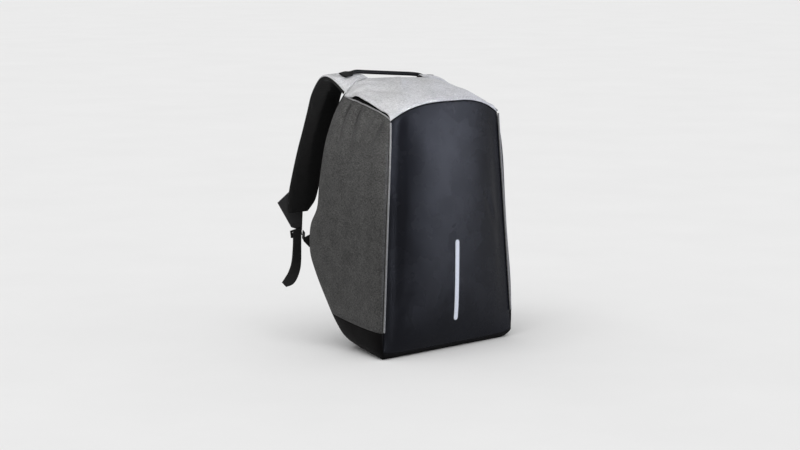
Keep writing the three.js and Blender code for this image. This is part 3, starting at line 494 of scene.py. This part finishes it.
class Nodes:
    """Short ways to add nodes."""

    def __init__(self, tree):
        self.tree = tree

    def add(self, kind, inputs=None, **settings):
        node = self.tree.nodes.new(kind)
        for key, value in settings.items():
            setattr(node, key, value)
        for key, value in (inputs or {}).items():
            if hasattr(value, "is_output"):
                self.tree.links.new(value, node.inputs[key])
            else:
                node.inputs[key].default_value = value
        return node

    def place(self):
        return self.add("ShaderNodeTexCoord").outputs["Object"]

    def scaled(self, vector, scale):
        return self.add("ShaderNodeMapping", {"Vector": vector, "Scale": scale}).outputs[0]

    def noise(self, vector, scale, detail=3.0, rough=0.55):
        inputs = {"Vector": vector, "Scale": scale, "Detail": detail, "Roughness": rough}
        return self.add("ShaderNodeTexNoise", inputs).outputs["Fac"]

    def math(self, operation, a, b=0.0):
        return self.add("ShaderNodeMath", {0: a, 1: b}, operation=operation).outputs[0]

    def span(self, value, low, high, to_low=0.0, to_high=1.0):
        inputs = {"Value": value, "From Min": low, "From Max": high, "To Min": to_low, "To Max": to_high}
        return self.add("ShaderNodeMapRange", inputs).outputs[0]

    def blend(self, factor, a, b):
        node = self.add("ShaderNodeMix", {0: factor}, data_type="RGBA")
        for key, value in ((6, a), (7, b)):
            if hasattr(value, "is_output"):
                self.tree.links.new(value, node.inputs[key])
            else:
                node.inputs[key].default_value = (*value, 1)
        return node.outputs[2]

    def bump(self, height, strength, distance, normal=None):
        inputs = {"Height": height, "Strength": strength, "Distance": distance}
        if normal is not None:
            inputs["Normal"] = normal
        return self.add("ShaderNodeBump", inputs).outputs[0]

    def weave(self, vector, pitch):
        """Plain weave of the given thread pitch in metres, on every side of the body."""
        rate = math.pi / pitch
        parts = self.add("ShaderNodeSeparateXYZ", {0: vector}).outputs
        across = self.math("ADD", parts[0], parts[1])
        a = self.math("SINE", self.math("MULTIPLY", across, rate))
        b = self.math("SINE", self.math("MULTIPLY", parts[2], rate))
        c = self.math("SINE", self.math("MULTIPLY", self.math("SUBTRACT", parts[0], parts[1]), rate))
        return self.math("ADD", self.math("MULTIPLY", a, b), self.math("MULTIPLY", c, 0.35))

    def link(self, output, shader, name):
        self.tree.links.new(output, shader.inputs[name])


def set_values(shader, **values):
    for key, value in values.items():
        shader.inputs[key.replace("_", " ")].default_value = value


def coated(dark, light, rough, wear=0.25, sheen=0.03, gloss=0.25):
    """Smooth coated cloth: fine weave, cloudy colour, dull rubbed spots."""
    def build(n, shader):
        place = n.place()
        cloud = n.noise(place, 9, 4)
        rub = n.span(n.noise(place, 55, 5, 0.65), 0.45, 0.75)
        colour = n.blend(n.span(cloud, 0.3, 0.7), dark, light)
        colour = n.blend(n.math("MULTIPLY", rub, wear), colour, tuple(c * 1.9 for c in light))
        weave = n.weave(place, 0.00045)
        n.link(colour, shader, "Base Color")
        n.link(n.span(n.noise(place, 24, 3), 0.3, 0.7, rough - 0.05, rough + 0.08), shader, "Roughness")
        soft = n.bump(n.noise(place, 14, 2), 0.25, 0.002)
        n.link(n.bump(weave, 0.22, 0.00012, soft), shader, "Normal")
        set_values(shader, Sheen_Weight=sheen, Sheen_Roughness=0.4, Specular_IOR_Level=gloss)
    return build


def melange(dark, middle, light, pitch=0.00055):
    """Woven cloth of mixed light and dark yarn."""
    def build(n, shader):
        place = n.place()
        long_yarn = n.noise(n.scaled(place, (260, 260, 2600)), 1, 3, 0.6)
        cross_yarn = n.noise(n.scaled(place, (2200, 2200, 240)), 1, 3, 0.6)
        fleck = n.math("ADD", n.math("MULTIPLY", long_yarn, 0.5), n.math("MULTIPLY", cross_yarn, 0.5))
        patch = n.noise(place, 38, 5, 0.6)
        level = n.math("ADD", n.math("MULTIPLY", fleck, 0.88), n.math("MULTIPLY", patch, 0.12))
        low = n.blend(n.span(level, 0.4, 0.5), dark, middle)
        colour = n.blend(n.span(level, 0.5, 0.62), low, light)
        n.link(colour, shader, "Base Color")
        weave = n.weave(place, pitch)
        soft = n.bump(n.noise(place, 45, 4), 0.3, 0.0012)
        height = n.math("ADD", weave, n.math("MULTIPLY", fleck, 1.5))
        n.link(n.bump(height, 0.5, 0.00022, soft), shader, "Normal")
        n.link(n.span(level, 0.3, 0.7, 0.95, 0.82), shader, "Roughness")
        set_values(shader, Sheen_Weight=0.06, Sheen_Roughness=0.5, Specular_IOR_Level=0.15)
    return build


def air_mesh(dark, light):
    """Padded spacer mesh with small round holes."""
    def build(n, shader):
        place = n.place()
        cells = n.add("ShaderNodeTexVoronoi", {"Vector": place, "Scale": 420.0, "Randomness": 0.15})
        hole = n.span(cells.outputs["Distance"], 0.12, 0.42)
        # Colour: darker in the holes, from the same mask as their bump (painted shade in the recesses)
        colour = n.blend(hole, dark, light)
        n.link(colour, shader, "Base Color")
        n.link(n.span(n.noise(place, 30, 3), 0.3, 0.7, 0.8, 0.95), shader, "Roughness")
        n.link(n.bump(hole, 0.6, 0.0006, n.bump(n.noise(place, 40, 3), 0.2, 0.001)), shader, "Normal")
        set_values(shader, Sheen_Weight=0.03, Specular_IOR_Level=0.12)
    return build


def ribbed(dark, light):
    """Woven tape with ribs across it."""
    def build(n, shader):
        along = n.add("ShaderNodeAttribute", attribute_name="along").outputs["Fac"]
        across = n.add("ShaderNodeAttribute", attribute_name="across").outputs["Fac"]
        rib = n.math("SINE", n.math("MULTIPLY", along, 2 * math.pi / 1.3))
        rows = n.math("SINE", n.math("MULTIPLY", across, 2 * math.pi / 2.2))
        height = n.math("ADD", rib, n.math("MULTIPLY", rows, 0.5))
        dust = n.noise(n.place(), 60, 4)
        # Colour: darker in the grooves and lighter on the ribs, from the bump's own height (painted shade),
        # plus random dust
        colour = n.blend(n.span(n.math("ADD", height, n.math("MULTIPLY", dust, 2.0)), -0.4, 2.2), dark, light)
        n.link(colour, shader, "Base Color")
        n.link(n.span(dust, 0.3, 0.7, 0.55, 0.75), shader, "Roughness")
        n.link(n.bump(height, 0.5, 0.0003), shader, "Normal")
        set_values(shader, Sheen_Weight=0.04, Specular_IOR_Level=0.2)
    return build


def plain(dark, light, rough, scale=120, bump=0.15, depth=0.0002, gloss=0.5):
    """Moulded or rubbery surface with a fine grain and patchy roughness."""
    def build(n, shader):
        place = n.place()
        grain = n.noise(place, scale, 4, 0.6)
        n.link(n.blend(n.span(grain, 0.35, 0.7), dark, light), shader, "Base Color")
        worn = n.noise(place, scale * 0.3, 3)
        n.link(n.span(worn, 0.3, 0.7, rough - 0.06, rough + 0.08), shader, "Roughness")
        n.link(n.bump(n.noise(place, scale * 12, 2), bump, depth), shader, "Normal")
        set_values(shader, Specular_IOR_Level=gloss)
    return build


FRONT_CLOTH = material("coated_cloth", coated(
    (0.003, 0.0033, 0.005), (0.0045, 0.005, 0.0075), 0.25, wear=0.05, sheen=0.0, gloss=0.085))
WING_CLOTH = material("wing_cloth", coated(
    (0.034, 0.034, 0.035), (0.048, 0.048, 0.0495), 0.45, wear=0.1, sheen=0.02, gloss=0.2))
SIDE_CLOTH = material("grey_melange", melange(
    (0.017, 0.017, 0.0166), (0.05, 0.0494, 0.0484), (0.12, 0.119, 0.117)))
TOP_CLOTH = material("light_melange", melange(
    (0.27, 0.27, 0.275), (0.45, 0.45, 0.459), (0.63, 0.63, 0.64)))
BASE_LOOK = material("base_cloth", coated(
    (0.0028, 0.0025, 0.0026), (0.0048, 0.0044, 0.0046), 0.55, wear=0.05, sheen=0.0, gloss=0.04))
MESH_CLOTH = material("black_mesh", air_mesh((0.0035, 0.0035, 0.0035), (0.009, 0.009, 0.0092)))
BACK_CLOTH = material("back_mesh", air_mesh((0.006, 0.006, 0.0061), (0.016, 0.016, 0.0164)))
TAPE = material("webbing", ribbed((0.004, 0.004, 0.004), (0.014, 0.014, 0.0145)))
PIPING = material("piping", melange(
    (0.13, 0.13, 0.132), (0.2, 0.2, 0.203), (0.3, 0.3, 0.304), pitch=0.0004))
STRIP = material("reflective", plain(
    (0.44, 0.455, 0.485), (0.54, 0.555, 0.59), 0.45, 300, bump=0.3, depth=0.00008, gloss=0.3))
PLASTIC = material("buckle_plastic", plain((0.005, 0.005, 0.005), (0.008, 0.008, 0.008), 0.6, 90, gloss=0.08))
RUBBER = material("handle_rubber", plain(
    (0.0032, 0.0032, 0.0034), (0.0065, 0.0065, 0.007), 0.55, 70, bump=0.25, gloss=0.1))
THREAD = material("thread", plain((0.03, 0.03, 0.033), (0.06, 0.06, 0.066), 0.7, 400))
PALE_THREAD = material("pale_thread", plain((0.3, 0.3, 0.31), (0.42, 0.42, 0.43), 0.75, 400))
ZIP = material("zip_cloth", plain((0.003, 0.003, 0.003), (0.006, 0.006, 0.006), 0.85, 200, gloss=0.05))

# Body panels
GRIDS = {"front": front_grid(), "top": top_grid(), "back": back_grid()}
GRIDS.update((side, side_grid(side)) for side in WORDS)


def panel(name, grid, thickness, look, node):
    points, faces = shell(grid, thickness)
    return piece(name, points, faces, look, [node])


panel("front_skin", GRIDS["front"], CLOTH, FRONT_CLOTH, "front_panel")
panel("top_skin", GRIDS["top"], CLOTH, TOP_CLOTH, "top_panel")
for side, word in WORDS.items():
    panel(f"side_skin_{word}", GRIDS[side], CLOTH, SIDE_CLOTH, f"side_panel_{word}")
back_pad = panel("back_pad", GRIDS["back"], BACK_PAD, BACK_CLOTH, "back_panel")


# Base: a wall round the sides and rear on a rounded sole with a flat foot
def sole_side(side, t):
    return xyz(side * (mix(FRONT_HALF_LOW, SOLE_REAR_HALF, t) + SOLE_BULGE * round_bulge(t)),
               mix(front_seam_low(side, 0)[1], SOLE_REAR_Y, t),
               mix(FOOT_SEAM_HEIGHT, SOLE_REAR_HEIGHT, t ** 1.4))


def sole_rear(t):
    s = 2 * t - 1
    return xyz(SOLE_REAR_HALF * s, SOLE_REAR_Y + SOLE_REAR_BOW * (1 - s * s), SOLE_REAR_HEIGHT)


def foot_side(side, t):
    return xyz(side * (mix(FOOT_FRONT_HALF[side], FOOT_REAR_HALF + FOOT_CORNER, t) - FOOT_CORNER * t ** 5),
               mix(FOOT_FRONT_Y, FOOT_REAR_Y - FOOT_REAR_BOW, t), 0)


def base_piece():
    s, a = np.linspace(0, 1, 50)[:-1], np.linspace(0, 1, 70)[:-1]
    t = 1 - s
    seam_line = np.vstack([base_side_seam(LEFT, s), base_rear_seam(a), base_side_seam(RIGHT, t)])
    sole_line = np.vstack([sole_side(LEFT, s), sole_rear(a), sole_side(RIGHT, t)])
    rear_y = FOOT_REAR_Y - FOOT_REAR_BOW * abs(2 * a - 1) ** 3
    foot_rear = xyz(mix(-FOOT_REAR_HALF, FOOT_REAR_HALF, a), rear_y, 0)
    foot_front = xyz(mix(FOOT_FRONT_HALF[RIGHT], -FOOT_FRONT_HALF[LEFT], a), FOOT_FRONT_Y, 0)
    sole = np.vstack([sole_line, foot_seam(1 - a)])
    foot = np.vstack([foot_side(LEFT, s), foot_rear, foot_side(RIGHT, t), foot_front])
    rings = [foot * 0.02, foot * 0.5]
    for k in np.linspace(1, 0, 9):
        outwards = mix(1 - k, math.cos(k * math.pi / 2), SOLE_ROUND)
        down = mix(1 - k, 1 - math.sin(k * math.pi / 2), SOLE_ROUND)
        rings.append(np.concatenate([mix(foot[:, :2], sole[:, :2], outwards), sole[:, 2:] * down], axis=1))
    count = len(sole)
    points = list(np.vstack(rings))
    faces = grid_faces(len(rings), count, closed=True)
    faces.append(list(range(count))[::-1])
    top_ring = (len(rings) - 1) * count
    below = [top_ring + i for i in range(len(seam_line) + 1)]
    for r in np.linspace(0, 1, 13)[1:]:
        line = mix(sole_line, seam_line, r)
        line[0] = front_seam_low(LEFT, r)
        line = np.vstack([line, front_seam_low(RIGHT, r)[None]])
        puff = BASE_PUFF * math.sin(math.pi * r)
        line = line + unit(line * [1, 1, 0]) * puff
        start = len(points)
        points += list(line)
        row = list(range(start, start + len(line)))
        faces += [[below[i], below[i + 1], row[i + 1], row[i]] for i in range(len(row) - 1)]
        below = row
    obj = piece("base_skin", points, [f[::-1] for f in faces], BASE_LOOK, ["base"])
    thick = obj.modifiers.new("thickness", "SOLIDIFY")
    thick.thickness, thick.offset = BASE_CLOTH * MM, -1
    return obj


base_piece()


# Piping along the front and top seams, resting on their outer edges
def grid_edge_out(side, which, shares_at):
    """Outward directions at a seam: the sum of the two panels' normals there."""
    grids = {"front": (GRIDS["front"], GRIDS[side]), "top": (GRIDS["top"], GRIDS[side])}[which]
    sums = 0
    for k, grid in enumerate(grids):
        normal = grid_normals(grid)
        if k == 0:
            line = normal[:, 3 if side == LEFT else -4]
        elif which == "front":
            line = normal[:, -4 if side == LEFT else 3]
        else:
            line = normal[-4, ::-1] if side == LEFT else normal[-4]
        sums = sums + at_shares(line, shares_at)
    return unit(sums)


def piping(name, radius, line, out, node):
    points, faces = loft(tube(line + out * (radius + GAP), out, radius, 12))
    return piece(name, points, faces, PIPING, [node])


for side, word in WORDS.items():
    t = np.linspace(0.004, 0.994, 140)
    piping(f"front_cord_{word}", PIPING_RADIUS, front_seam_high(side, t),
           grid_edge_out(side, "front", mix(0.09, 1, t)), f"front_piping_{word}")
    t = np.linspace(0.015, 0.95, 90)
    piping(f"top_cord_{word}", TOP_PIPING_RADIUS, top_side_seam(side, t), grid_edge_out(side, "top", t),
           f"top_piping_{word}")


# Zip tape under the slot
def zip_piece(side):
    t = np.linspace(0.03, 0.93, 70)
    seam, out = top_side_seam(side, t), grid_edge_out(side, "top", t)
    into_top = unit(at_shares(GRIDS["top"][:, 8 if side == LEFT else -9], t) - seam)
    row = GRIDS[side][-9]
    into_side = unit(at_shares(row[::-1] if side == LEFT else row, t) - seam)
    near, far = CLOTH + GAP, CLOTH + GAP + TAPE_THICK
    raised = Z * (SLOT_LIFT * slot_shape(t))[:, None]
    under = lambda depth: seam - out * depth
    rings = np.stack([
        under(near + TAPE_SAG) + into_top * TAPE_WING + raised * 0.3,
        under(near + TAPE_SAG * 0.5) + into_top * TAPE_WING * 0.3 + raised * 0.6,
        under(near), under(near + TAPE_SAG * 0.5) + into_side * TAPE_WING * 0.35,
        under(near + TAPE_SAG) + into_side * TAPE_WING, under(far + TAPE_SAG) + into_side * TAPE_WING,
        under(far), under(far + TAPE_SAG) + into_top * TAPE_WING,
    ], axis=1)
    points, faces = loft(rings)
    piece(f"zip_band_{WORDS[side]}", points, faces, ZIP, [f"zip_tape_{WORDS[side]}"])


for side in WORDS:
    zip_piece(side)


# Reflective strip with rounded ends on the front panel
def on_front(x, z):
    grid = GRIDS["front"]
    j = int(np.argmax(grid[:, grid.shape[1] // 2, 2] > z))
    near = []
    for line in (grid[j - 1], grid[j]):
        near.append([np.interp(x, line[:, 0], line[:, c]) for c in range(3)])
    low, high = np.array(near)
    return mix(low, high, (z - low[2]) / (high[2] - low[2]))


def strip_piece():
    radius = STRIP_WIDTH / 2
    ends = radius * (1 - np.cos(np.linspace(0.15, np.pi / 2, 9)))
    straight = np.linspace(STRIP_LOW + radius + 2, STRIP_HIGH - radius - 2, 60)
    heights = np.concatenate([STRIP_LOW + ends, straight, (STRIP_HIGH - ends)[::-1]])
    section = ((-1, 0), (1, 0), (1, 0.6), (0.9, 1), (0.4, 1), (-0.4, 1), (-0.9, 1), (-1, 0.6))
    rings = []
    for z in heights:
        from_end = min(z - STRIP_LOW, STRIP_HIGH - z, radius)
        half = math.sqrt(radius ** 2 - (radius - from_end) ** 2)
        rings.append([on_front(STRIP_CENTRE_X + a * half, z) - [0, GAP + STRIP_THICK * rise, 0]
                      for a, rise in section])
    points, faces = loft(np.array(rings))
    piece("light_strip", points, faces, STRIP, ["reflective_strip"])


strip_piece()

# Shoulder straps, from root to end: shares outwards, rearward and up, how far a row follows the slanted
# root, fullness and width
STRAP_ROWS = np.array([
    (0.0, 0.0, 0.0, 1.0, 0.2, 1.0), (0.0, 0.12, 0.044, 0.68, 0.45, 1.0),
    (0.01, 0.23, 0.081, 0.36, 0.75, 1.0), (0.025, 0.335, 0.108, 0.16, 0.9, 1.0),
    (0.045, 0.435, 0.12, 0.06, 1, 1.0), (0.07, 0.53, 0.104, 0.02, 1, 1.0),
    (0.1, 0.615, 0.05, 0, 1, 1.0), (0.13, 0.705, -0.04, 0, 1, 1.0),
    (0.17, 0.765, -0.165, 0, 1, 1.0), (0.23, 0.835, -0.32, 0, 1, 1.0),
    (0.31, 0.905, -0.485, 0, 1, 1.0), (0.4, 0.96, -0.665, 0, 1, 0.98),
    (0.5, 0.99, -0.845, 0, 1, 0.96), (0.5, 1.0, -0.94, 0, 0.85, 0.86),
    (0.49, 1.0, -1.02, 0, 0.5, 0.62),
])
STRAP_STEPS = 120


def root_at(x):
    return rear_top_seam((x + TIP_HALF) / (2 * TIP_HALF)) + [0, ROOT_BACK, ROOT_LIFT]


class Strap:
    """Padded strap from the top seam over and down behind the bag."""

    def __init__(self, side, drop, count=STRAP_STEPS):
        self.roots = root_at(side * (TIP_HALF - 1)), root_at(side * (TIP_HALF - 1 - STRAP_WIDTH))
        slant = self.roots[1] - self.roots[0]
        outer, inner = [], []
        for k, (out, rear, up, follow, _, width) in enumerate(STRAP_ROWS):
            onset = min(1, max(0, (k - 1) / 3))
            sag = drop * onset * min(1, max(0, 1 - (k - 5) / 6))
            edge = self.roots[0] + [side * STRAP_WIDTH * out, STRAP_REACH * rear, STRAP_RISE * up - sag]
            outer.append(edge)
            inner.append(edge + slant * [width, follow, follow])
        outer, inner = spline(outer, count), spline(inner, count)
        self.place = (outer + inner) / 2
        self.half = (inner - outer) / 2
        self.along = unit(np.gradient(self.place, axis=0))
        self.out = unit(np.cross(self.half, self.along) * -side)
        self.follow = np.clip(spline(STRAP_ROWS[:, 3:4], count)[:, 0], 0, 1)
        self.thick = STRAP_HALF_THICK * np.clip(spline(STRAP_ROWS[:, 4:5], count)[:, 0], 0.1, 1)

    def arch(self, a):
        straight = mix(self.roots[0], self.roots[1], (a + 1) / 2)
        return (root_at(straight[0]) - straight)[None] * self.follow[:, None]

    def line(self, a, lift):
        lift = np.broadcast_to(lift, (len(self.place),))[:, None]
        return self.place + self.half * a + self.arch(a) + self.out * lift

    def face(self, a, above=0.0):
        """Line on the padded outer face, or above it."""
        return self.line(a, self.thick * (1 - abs(a) ** 7) ** 0.55 + above)

    def under(self, a, quilt):
        return self.line(a, -self.thick * (1 - abs(a) ** 7) ** 0.55 * (1 + quilt))


STRAPS = {LEFT: Strap(LEFT, 0), RIGHT: Strap(RIGHT, RIGHT_CREST_DROP)}


def strap_pieces(side):
    strap, word = STRAPS[side], WORDS[side]
    half_edge = [0.2, 0.45, 0.65, 0.8, 0.9, 0.95, 0.985, 1]
    edge = np.array([-a for a in half_edge[::-1]] + [0] + half_edge)
    quilt = QUILT * np.sin(np.linspace(0, 46, len(strap.place)))
    rings = [strap.under(a, quilt) for a in edge] + [strap.face(a) for a in edge[-2:0:-1]]
    points, faces = loft(np.stack(rings, axis=1))
    pad = piece(f"strap_pad_{word}", points, faces, MESH_CLOTH, [f"shoulder_strap_{word}"])
    wide = np.linspace(-COVER_EDGE, COVER_EDGE, 25)
    keep = slice(0, len(strap.place) - COVER_SHORT_ROWS)
    tuck = np.clip(1 - np.arange(len(strap.place)) / TUCK_ROWS, 0, 1)[:, None]
    reach = -strap.along * tuck * ROOT_TUCK
    rings = [(strap.face(a, GAP) + reach)[keep] for a in wide]
    for a in wide[::-1]:
        soft = 1 - 0.5 * (abs(a) > COVER_EDGE - 0.01)
        rings.append((strap.face(a, GAP + COVER_THICK * soft) + reach)[keep])
    points, faces = loft(np.stack(rings, axis=1))
    piece(f"strap_face_{word}", points, faces, TOP_CLOTH, [f"strap_cover_{word}"])
    return [(strap.face(a, GAP + COVER_THICK)[keep], strap.out[keep])
            for a in (-COVER_EDGE + THREAD_INSET, COVER_EDGE - THREAD_INSET)]


def thread(name, lines, look):
    points, faces = [], []
    for line, normals in lines:
        more, these = stitches(line, normals)
        faces += [[i + len(points) for i in f] for f in these]
        points += more
    return piece(name, points, faces, look)


strap_lines = [line for side in WORDS for line in strap_pieces(side)]
thread("strap_thread", strap_lines, PALE_THREAD)


# Carrying handle: flat ends on the two straps and a round grip between them. The grip's rows are the share
# of the way across and the share of the rise
HANDLE_SHARE = 2 / 14
LEFT_END, RIGHT_END = (-0.42, -0.2, 0.05), (0.3, 0.08, -0.12)
GRIP_ROWS = [(0.05, 0.6), (0.1, 1), (0.2, 1), (0.3, 1), (0.4, 1), (0.5, 1), (0.6, 1), (0.7, 1), (0.8, 1),
             (0.9, 0.8), (0.96, 0.4)]


def handle_piece():
    def seat(side, a):
        strap = STRAPS[side]
        k = int(round(HANDLE_SHARE * (len(strap.place) - 1)))
        lift = strap.thick[k] + GAP * 2 + COVER_THICK + HANDLE_TAB_THICK + TAB_LIFT
        rearward = strap.along[k] * np.sign(strap.along[k][1])
        return np.concatenate([strap.line(a, lift)[k], rearward, strap.out[k], [1.0]])

    rows, right = [seat(LEFT, a) for a in LEFT_END], [seat(RIGHT, a) for a in RIGHT_END]
    start, end = rows[-1][:3], right[0][:3]
    for t, rise in GRIP_ROWS:
        place = mix(start, end, t) + Z * (HANDLE_RADIUS - HANDLE_TAB_THICK + HANDLE_RISE) * rise
        rows.append(np.concatenate([place, [0, 1, 0], Z, [max(0, 0.5 - rise) * 2]]))
    rows = spline(rows + right, 110)
    angle = np.linspace(0, 2 * np.pi, 24, endpoint=False)
    rings = []
    for row in rows:
        flat = min(1, max(0, row[9]))
        half, thick = mix(HANDLE_RADIUS, HANDLE_TAB_HALF, flat), mix(HANDLE_RADIUS, HANDLE_TAB_THICK, flat)
        wide = unit(row[3:6])
        out = unit(row[6:9] - wide * row[6:9].dot(wide))
        square = 1 - 0.35 * flat
        a = np.sign(np.cos(angle)) * abs(np.cos(angle)) ** square * half
        b = np.sign(np.sin(angle)) * abs(np.sin(angle)) ** square * thick
        rings.append(row[:3] + wide * a[:, None] + out * b[:, None])
    points, faces = loft(np.array(rings))
    piece("carry_handle", points, faces, RUBBER, ["handle"])


handle_piece()


# Section of a flat rounded tape: shares of its half width and half thickness
HALF_SECTION = [(-1, -0.3), (-0.97, -0.85), (-0.9, -1), (-0.5, -1), (0, -1), (0.5, -1), (0.9, -1),
                (0.97, -0.85), (1, -0.3)]
TAPE_SECTION = HALF_SECTION + [(-a, -b) for a, b in HALF_SECTION]


# Webbing through rows of a place, a width direction and a share of the width
def webbing(name, rows, count, node):
    rows = spline(rows, count)
    place, wide_hint, share = rows[:, :3], rows[:, 3:6], rows[:, 6]
    _, wide, out = frames_along(place, wide_hint)
    rings = [place + wide * (WEBBING_HALF * a * share)[:, None] + out * WEBBING_THICK / 2 * b
             for a, b in TAPE_SECTION]
    points, faces = loft(np.stack(rings, axis=1))
    run = np.concatenate([[0], np.cumsum(np.linalg.norm(np.diff(place, axis=0), axis=1))])
    across = [a * WEBBING_HALF for a, _ in TAPE_SECTION]
    values = {"along": np.repeat(run, len(across)), "across": np.tile(across, count)}
    return piece(name, points, faces, TAPE, [node], values)


# Loose end, as shares of its length outwards, down and deeper; then turn, lift of the outer edge and width
TAIL_ROWS = [
    (0, 0, 0, 0, 0, 1), (0.005, 0.242, 0, 0, 0, 1), (0.011, 0.411, 0, 0.08, 0, 1),
    (0.021, 0.568, -0.002, 0.2, 0.05, 1), (0.058, 0.705, 0.008, 0.35, 0.15, 1),
    (0.137, 0.842, 0.019, 0.55, 0.35, 1), (0.232, 0.926, 0.03, 0.75, 0.55, 0.95),
    (0.358, 0.979, 0.04, 0.85, 0.7, 0.6),
]
# Lower webbing: share of the way, share of the rise and turn
LINK_ROWS = [(0, 0, 0.75), (0.35, 0.2, 0.7), (0.7, 0.6, 0.6), (1, 1, 0.5)]


def rear_at_height(side, z):
    line = rear_seam(side, np.linspace(0, 1, 201))
    return line[int(np.argmin(abs(line[:, 2] - z)))]


def lock_place(side):
    end = STRAPS[side].place[-1]
    return np.array([end[0] + side * LOCK_OUT, WING_Y - LOCK_THICK / 2 - GAP, end[2] - LOCK_DROP])


for side, word in WORDS.items():
    top = lock_place(side) + [0, -TAIL_DEPTH, LOCK_HEIGHT / 2]
    rows = []
    for out, down, deep, turn, lift, share in TAIL_ROWS:
        place = top + np.array([side * out, -deep, -down]) * TAIL_LENGTH
        rows.append((*place, side * math.cos(turn), math.sin(turn), lift, share))
    webbing(f"strap_tail_{word}", rows, 90, f"webbing_tail_{word}")
    start = rear_at_height(side, TAB_Z) + [0, TAB_SEAT + TAB_DEPTH + TAB_LOOSE, 1]
    end = lock_place(side) + [side * (-LOCK_WIDTH / 2 - LINK_GAP), -TAIL_DEPTH + GAP, 1]
    rows = []
    for way, rise, turn in LINK_ROWS:
        place = (*mix(start[:2], end[:2], way), mix(start[2], end[2], rise))
        rows.append((*place, side * 0.7 * turn, 0.3, 0.9, LINK_SHARE))
    webbing(f"strap_link_{word}", rows, 24, f"lower_webbing_{word}")


# Plates kept from the CAD node's own mesh, with softened edges
def softened(node, name, look, width):
    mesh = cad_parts[node].data.copy()
    obj = bpy.data.objects.new(name, mesh)
    bpy.context.collection.objects.link(obj)
    mesh.materials.clear()
    mesh.materials.append(look)
    weld = obj.modifiers.new("weld", "WELD")
    weld.merge_threshold = 0.00002
    flat = obj.modifiers.new("flat", "DECIMATE")
    flat.decimate_type, flat.angle_limit = "DISSOLVE", math.radians(3)
    edge = obj.modifiers.new("edge", "BEVEL")
    edge.width, edge.segments = width * MM, 3
    edge.limit_method, edge.angle_limit = "ANGLE", math.radians(35)
    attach(obj, "root")
    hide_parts(node)
    return obj


for side, word in WORDS.items():
    softened(f"ladder_lock_{word}", f"lock_{word}", PLASTIC, 0.5)
    softened(f"side_tab_{word}", f"tab_{word}", ZIP, 0.4)
    softened(f"strap_wing_{word}", f"wing_{word}", WING_CLOTH, 0.8)


# Stitching beside the seams
def beside(grid, side_of_grid, offset):
    """Line on a grid some steps in from one of its edges, with its normals."""
    normal = grid_normals(grid)
    cut = {"first": (slice(None), offset), "last": (slice(None), -1 - offset), "low": (offset, slice(None)),
           "high": (-1 - offset, slice(None))}[side_of_grid]
    return grid[cut][3:-3], normal[cut][3:-3]


body_lines = [beside(GRIDS[LEFT], "low", 3), beside(GRIDS[RIGHT], "low", 3)]
thread("side_thread", body_lines, THREAD)
thread("top_thread", [beside(GRIDS["top"], "low", 4)], PALE_THREAD)

# Dark seam line where the top meets the front arch
arch_line = GRIDS["front"][-2][1:-1] + grid_normals(GRIDS["front"])[-2][1:-1] * ARCH_SEAM_LIFT
points, faces = loft(tube(arch_line, Z, ARCH_SEAM_RADIUS, 6))
piece("arch_seam", points, faces, ZIP)

# Floor, light and camera, in metres
FLOOR_SIZE, FLOOR_DROP, WORLD_LEVEL = 160, 0.0002, 0.63
HEADING, PITCH, FOCAL = math.radians(43.5), 0.145128, 2128.04
CAMERA_PLACE = (-2.5366, -2.6168, 0.7399)
IMAGE_WIDTH, SENSOR = 800, 36

bpy.ops.mesh.primitive_plane_add(size=FLOOR_SIZE, location=(0, 0, -FLOOR_DROP))
floor = bpy.context.object
floor.name = "floor"
floor.data.materials.append(material("floor", plain((0.80, 0.80, 0.80), (0.82, 0.82, 0.82), 0.9, 3, 0.0)))

# The two area lights light the bag and leave the floor even
lit = bpy.data.collections.new("lit_pieces")
for obj in [o for o in bpy.context.scene.objects if o.type == "MESH" and o != floor]:
    lit.objects.link(obj)


def area_light(name, place, target, size, power, size_y=None, beam=180, colour=(1, 1, 1)):
    data = bpy.data.lights.new(name, "AREA")
    data.energy, data.size, data.spread, data.color = power, size, math.radians(beam), colour
    if size_y:
        data.shape, data.size_y = "RECTANGLE", size_y
    obj = bpy.data.objects.new(name, data)
    obj.location = place
    obj.rotation_euler = (Vector(target) - Vector(place)).to_track_quat("-Z", "Y").to_euler()
    obj.visible_camera = False
    obj.light_linking.receiver_collection = lit
    bpy.context.collection.objects.link(obj)


def sun_light(name, towards, power, spread):
    data = bpy.data.lights.new(name, "SUN")
    data.energy, data.angle = power, math.radians(spread)
    obj = bpy.data.objects.new(name, data)
    obj.rotation_euler = Vector(towards).to_track_quat("-Z", "Y").to_euler()
    bpy.context.collection.objects.link(obj)


sun_light("top_sun", (0.42, 0.16, -1), 1.4, 60)
area_light("band_light", (1.62, -1.98, 0.36), (0, -0.06, 0.2), size=0.34, power=3.0, size_y=1.0, beam=40,
           colour=(0.76, 0.81, 1.0))
area_light("side_light", (-0.95, -1.85, 0.1), (-0.14, 0.0, 0.43), size=0.3, power=0.26, beam=9)
world = bpy.data.worlds.new("studio")
world.use_nodes = True
world.node_tree.nodes["Background"].inputs[0].default_value = (1, 1, 1, 1)
world.node_tree.nodes["Background"].inputs[1].default_value = WORLD_LEVEL
bpy.context.scene.world = world
bpy.context.scene.view_settings.view_transform = "Standard"

forward = Vector((math.sin(HEADING) * math.cos(PITCH), math.cos(HEADING) * math.cos(PITCH), -math.sin(PITCH)))
right = Vector((math.cos(HEADING), -math.sin(HEADING), 0))
upward = right.cross(forward)
turn = Matrix((right, upward, -forward)).transposed().to_4x4()
camera_data = bpy.data.cameras.new("camera")
camera_data.sensor_width = SENSOR
camera_data.lens = FOCAL / IMAGE_WIDTH * SENSOR
camera = bpy.data.objects.new("camera", camera_data)
camera.matrix_world = Matrix.Translation(CAMERA_PLACE) @ turn
bpy.context.collection.objects.link(camera)
bpy.context.scene.camera = camera
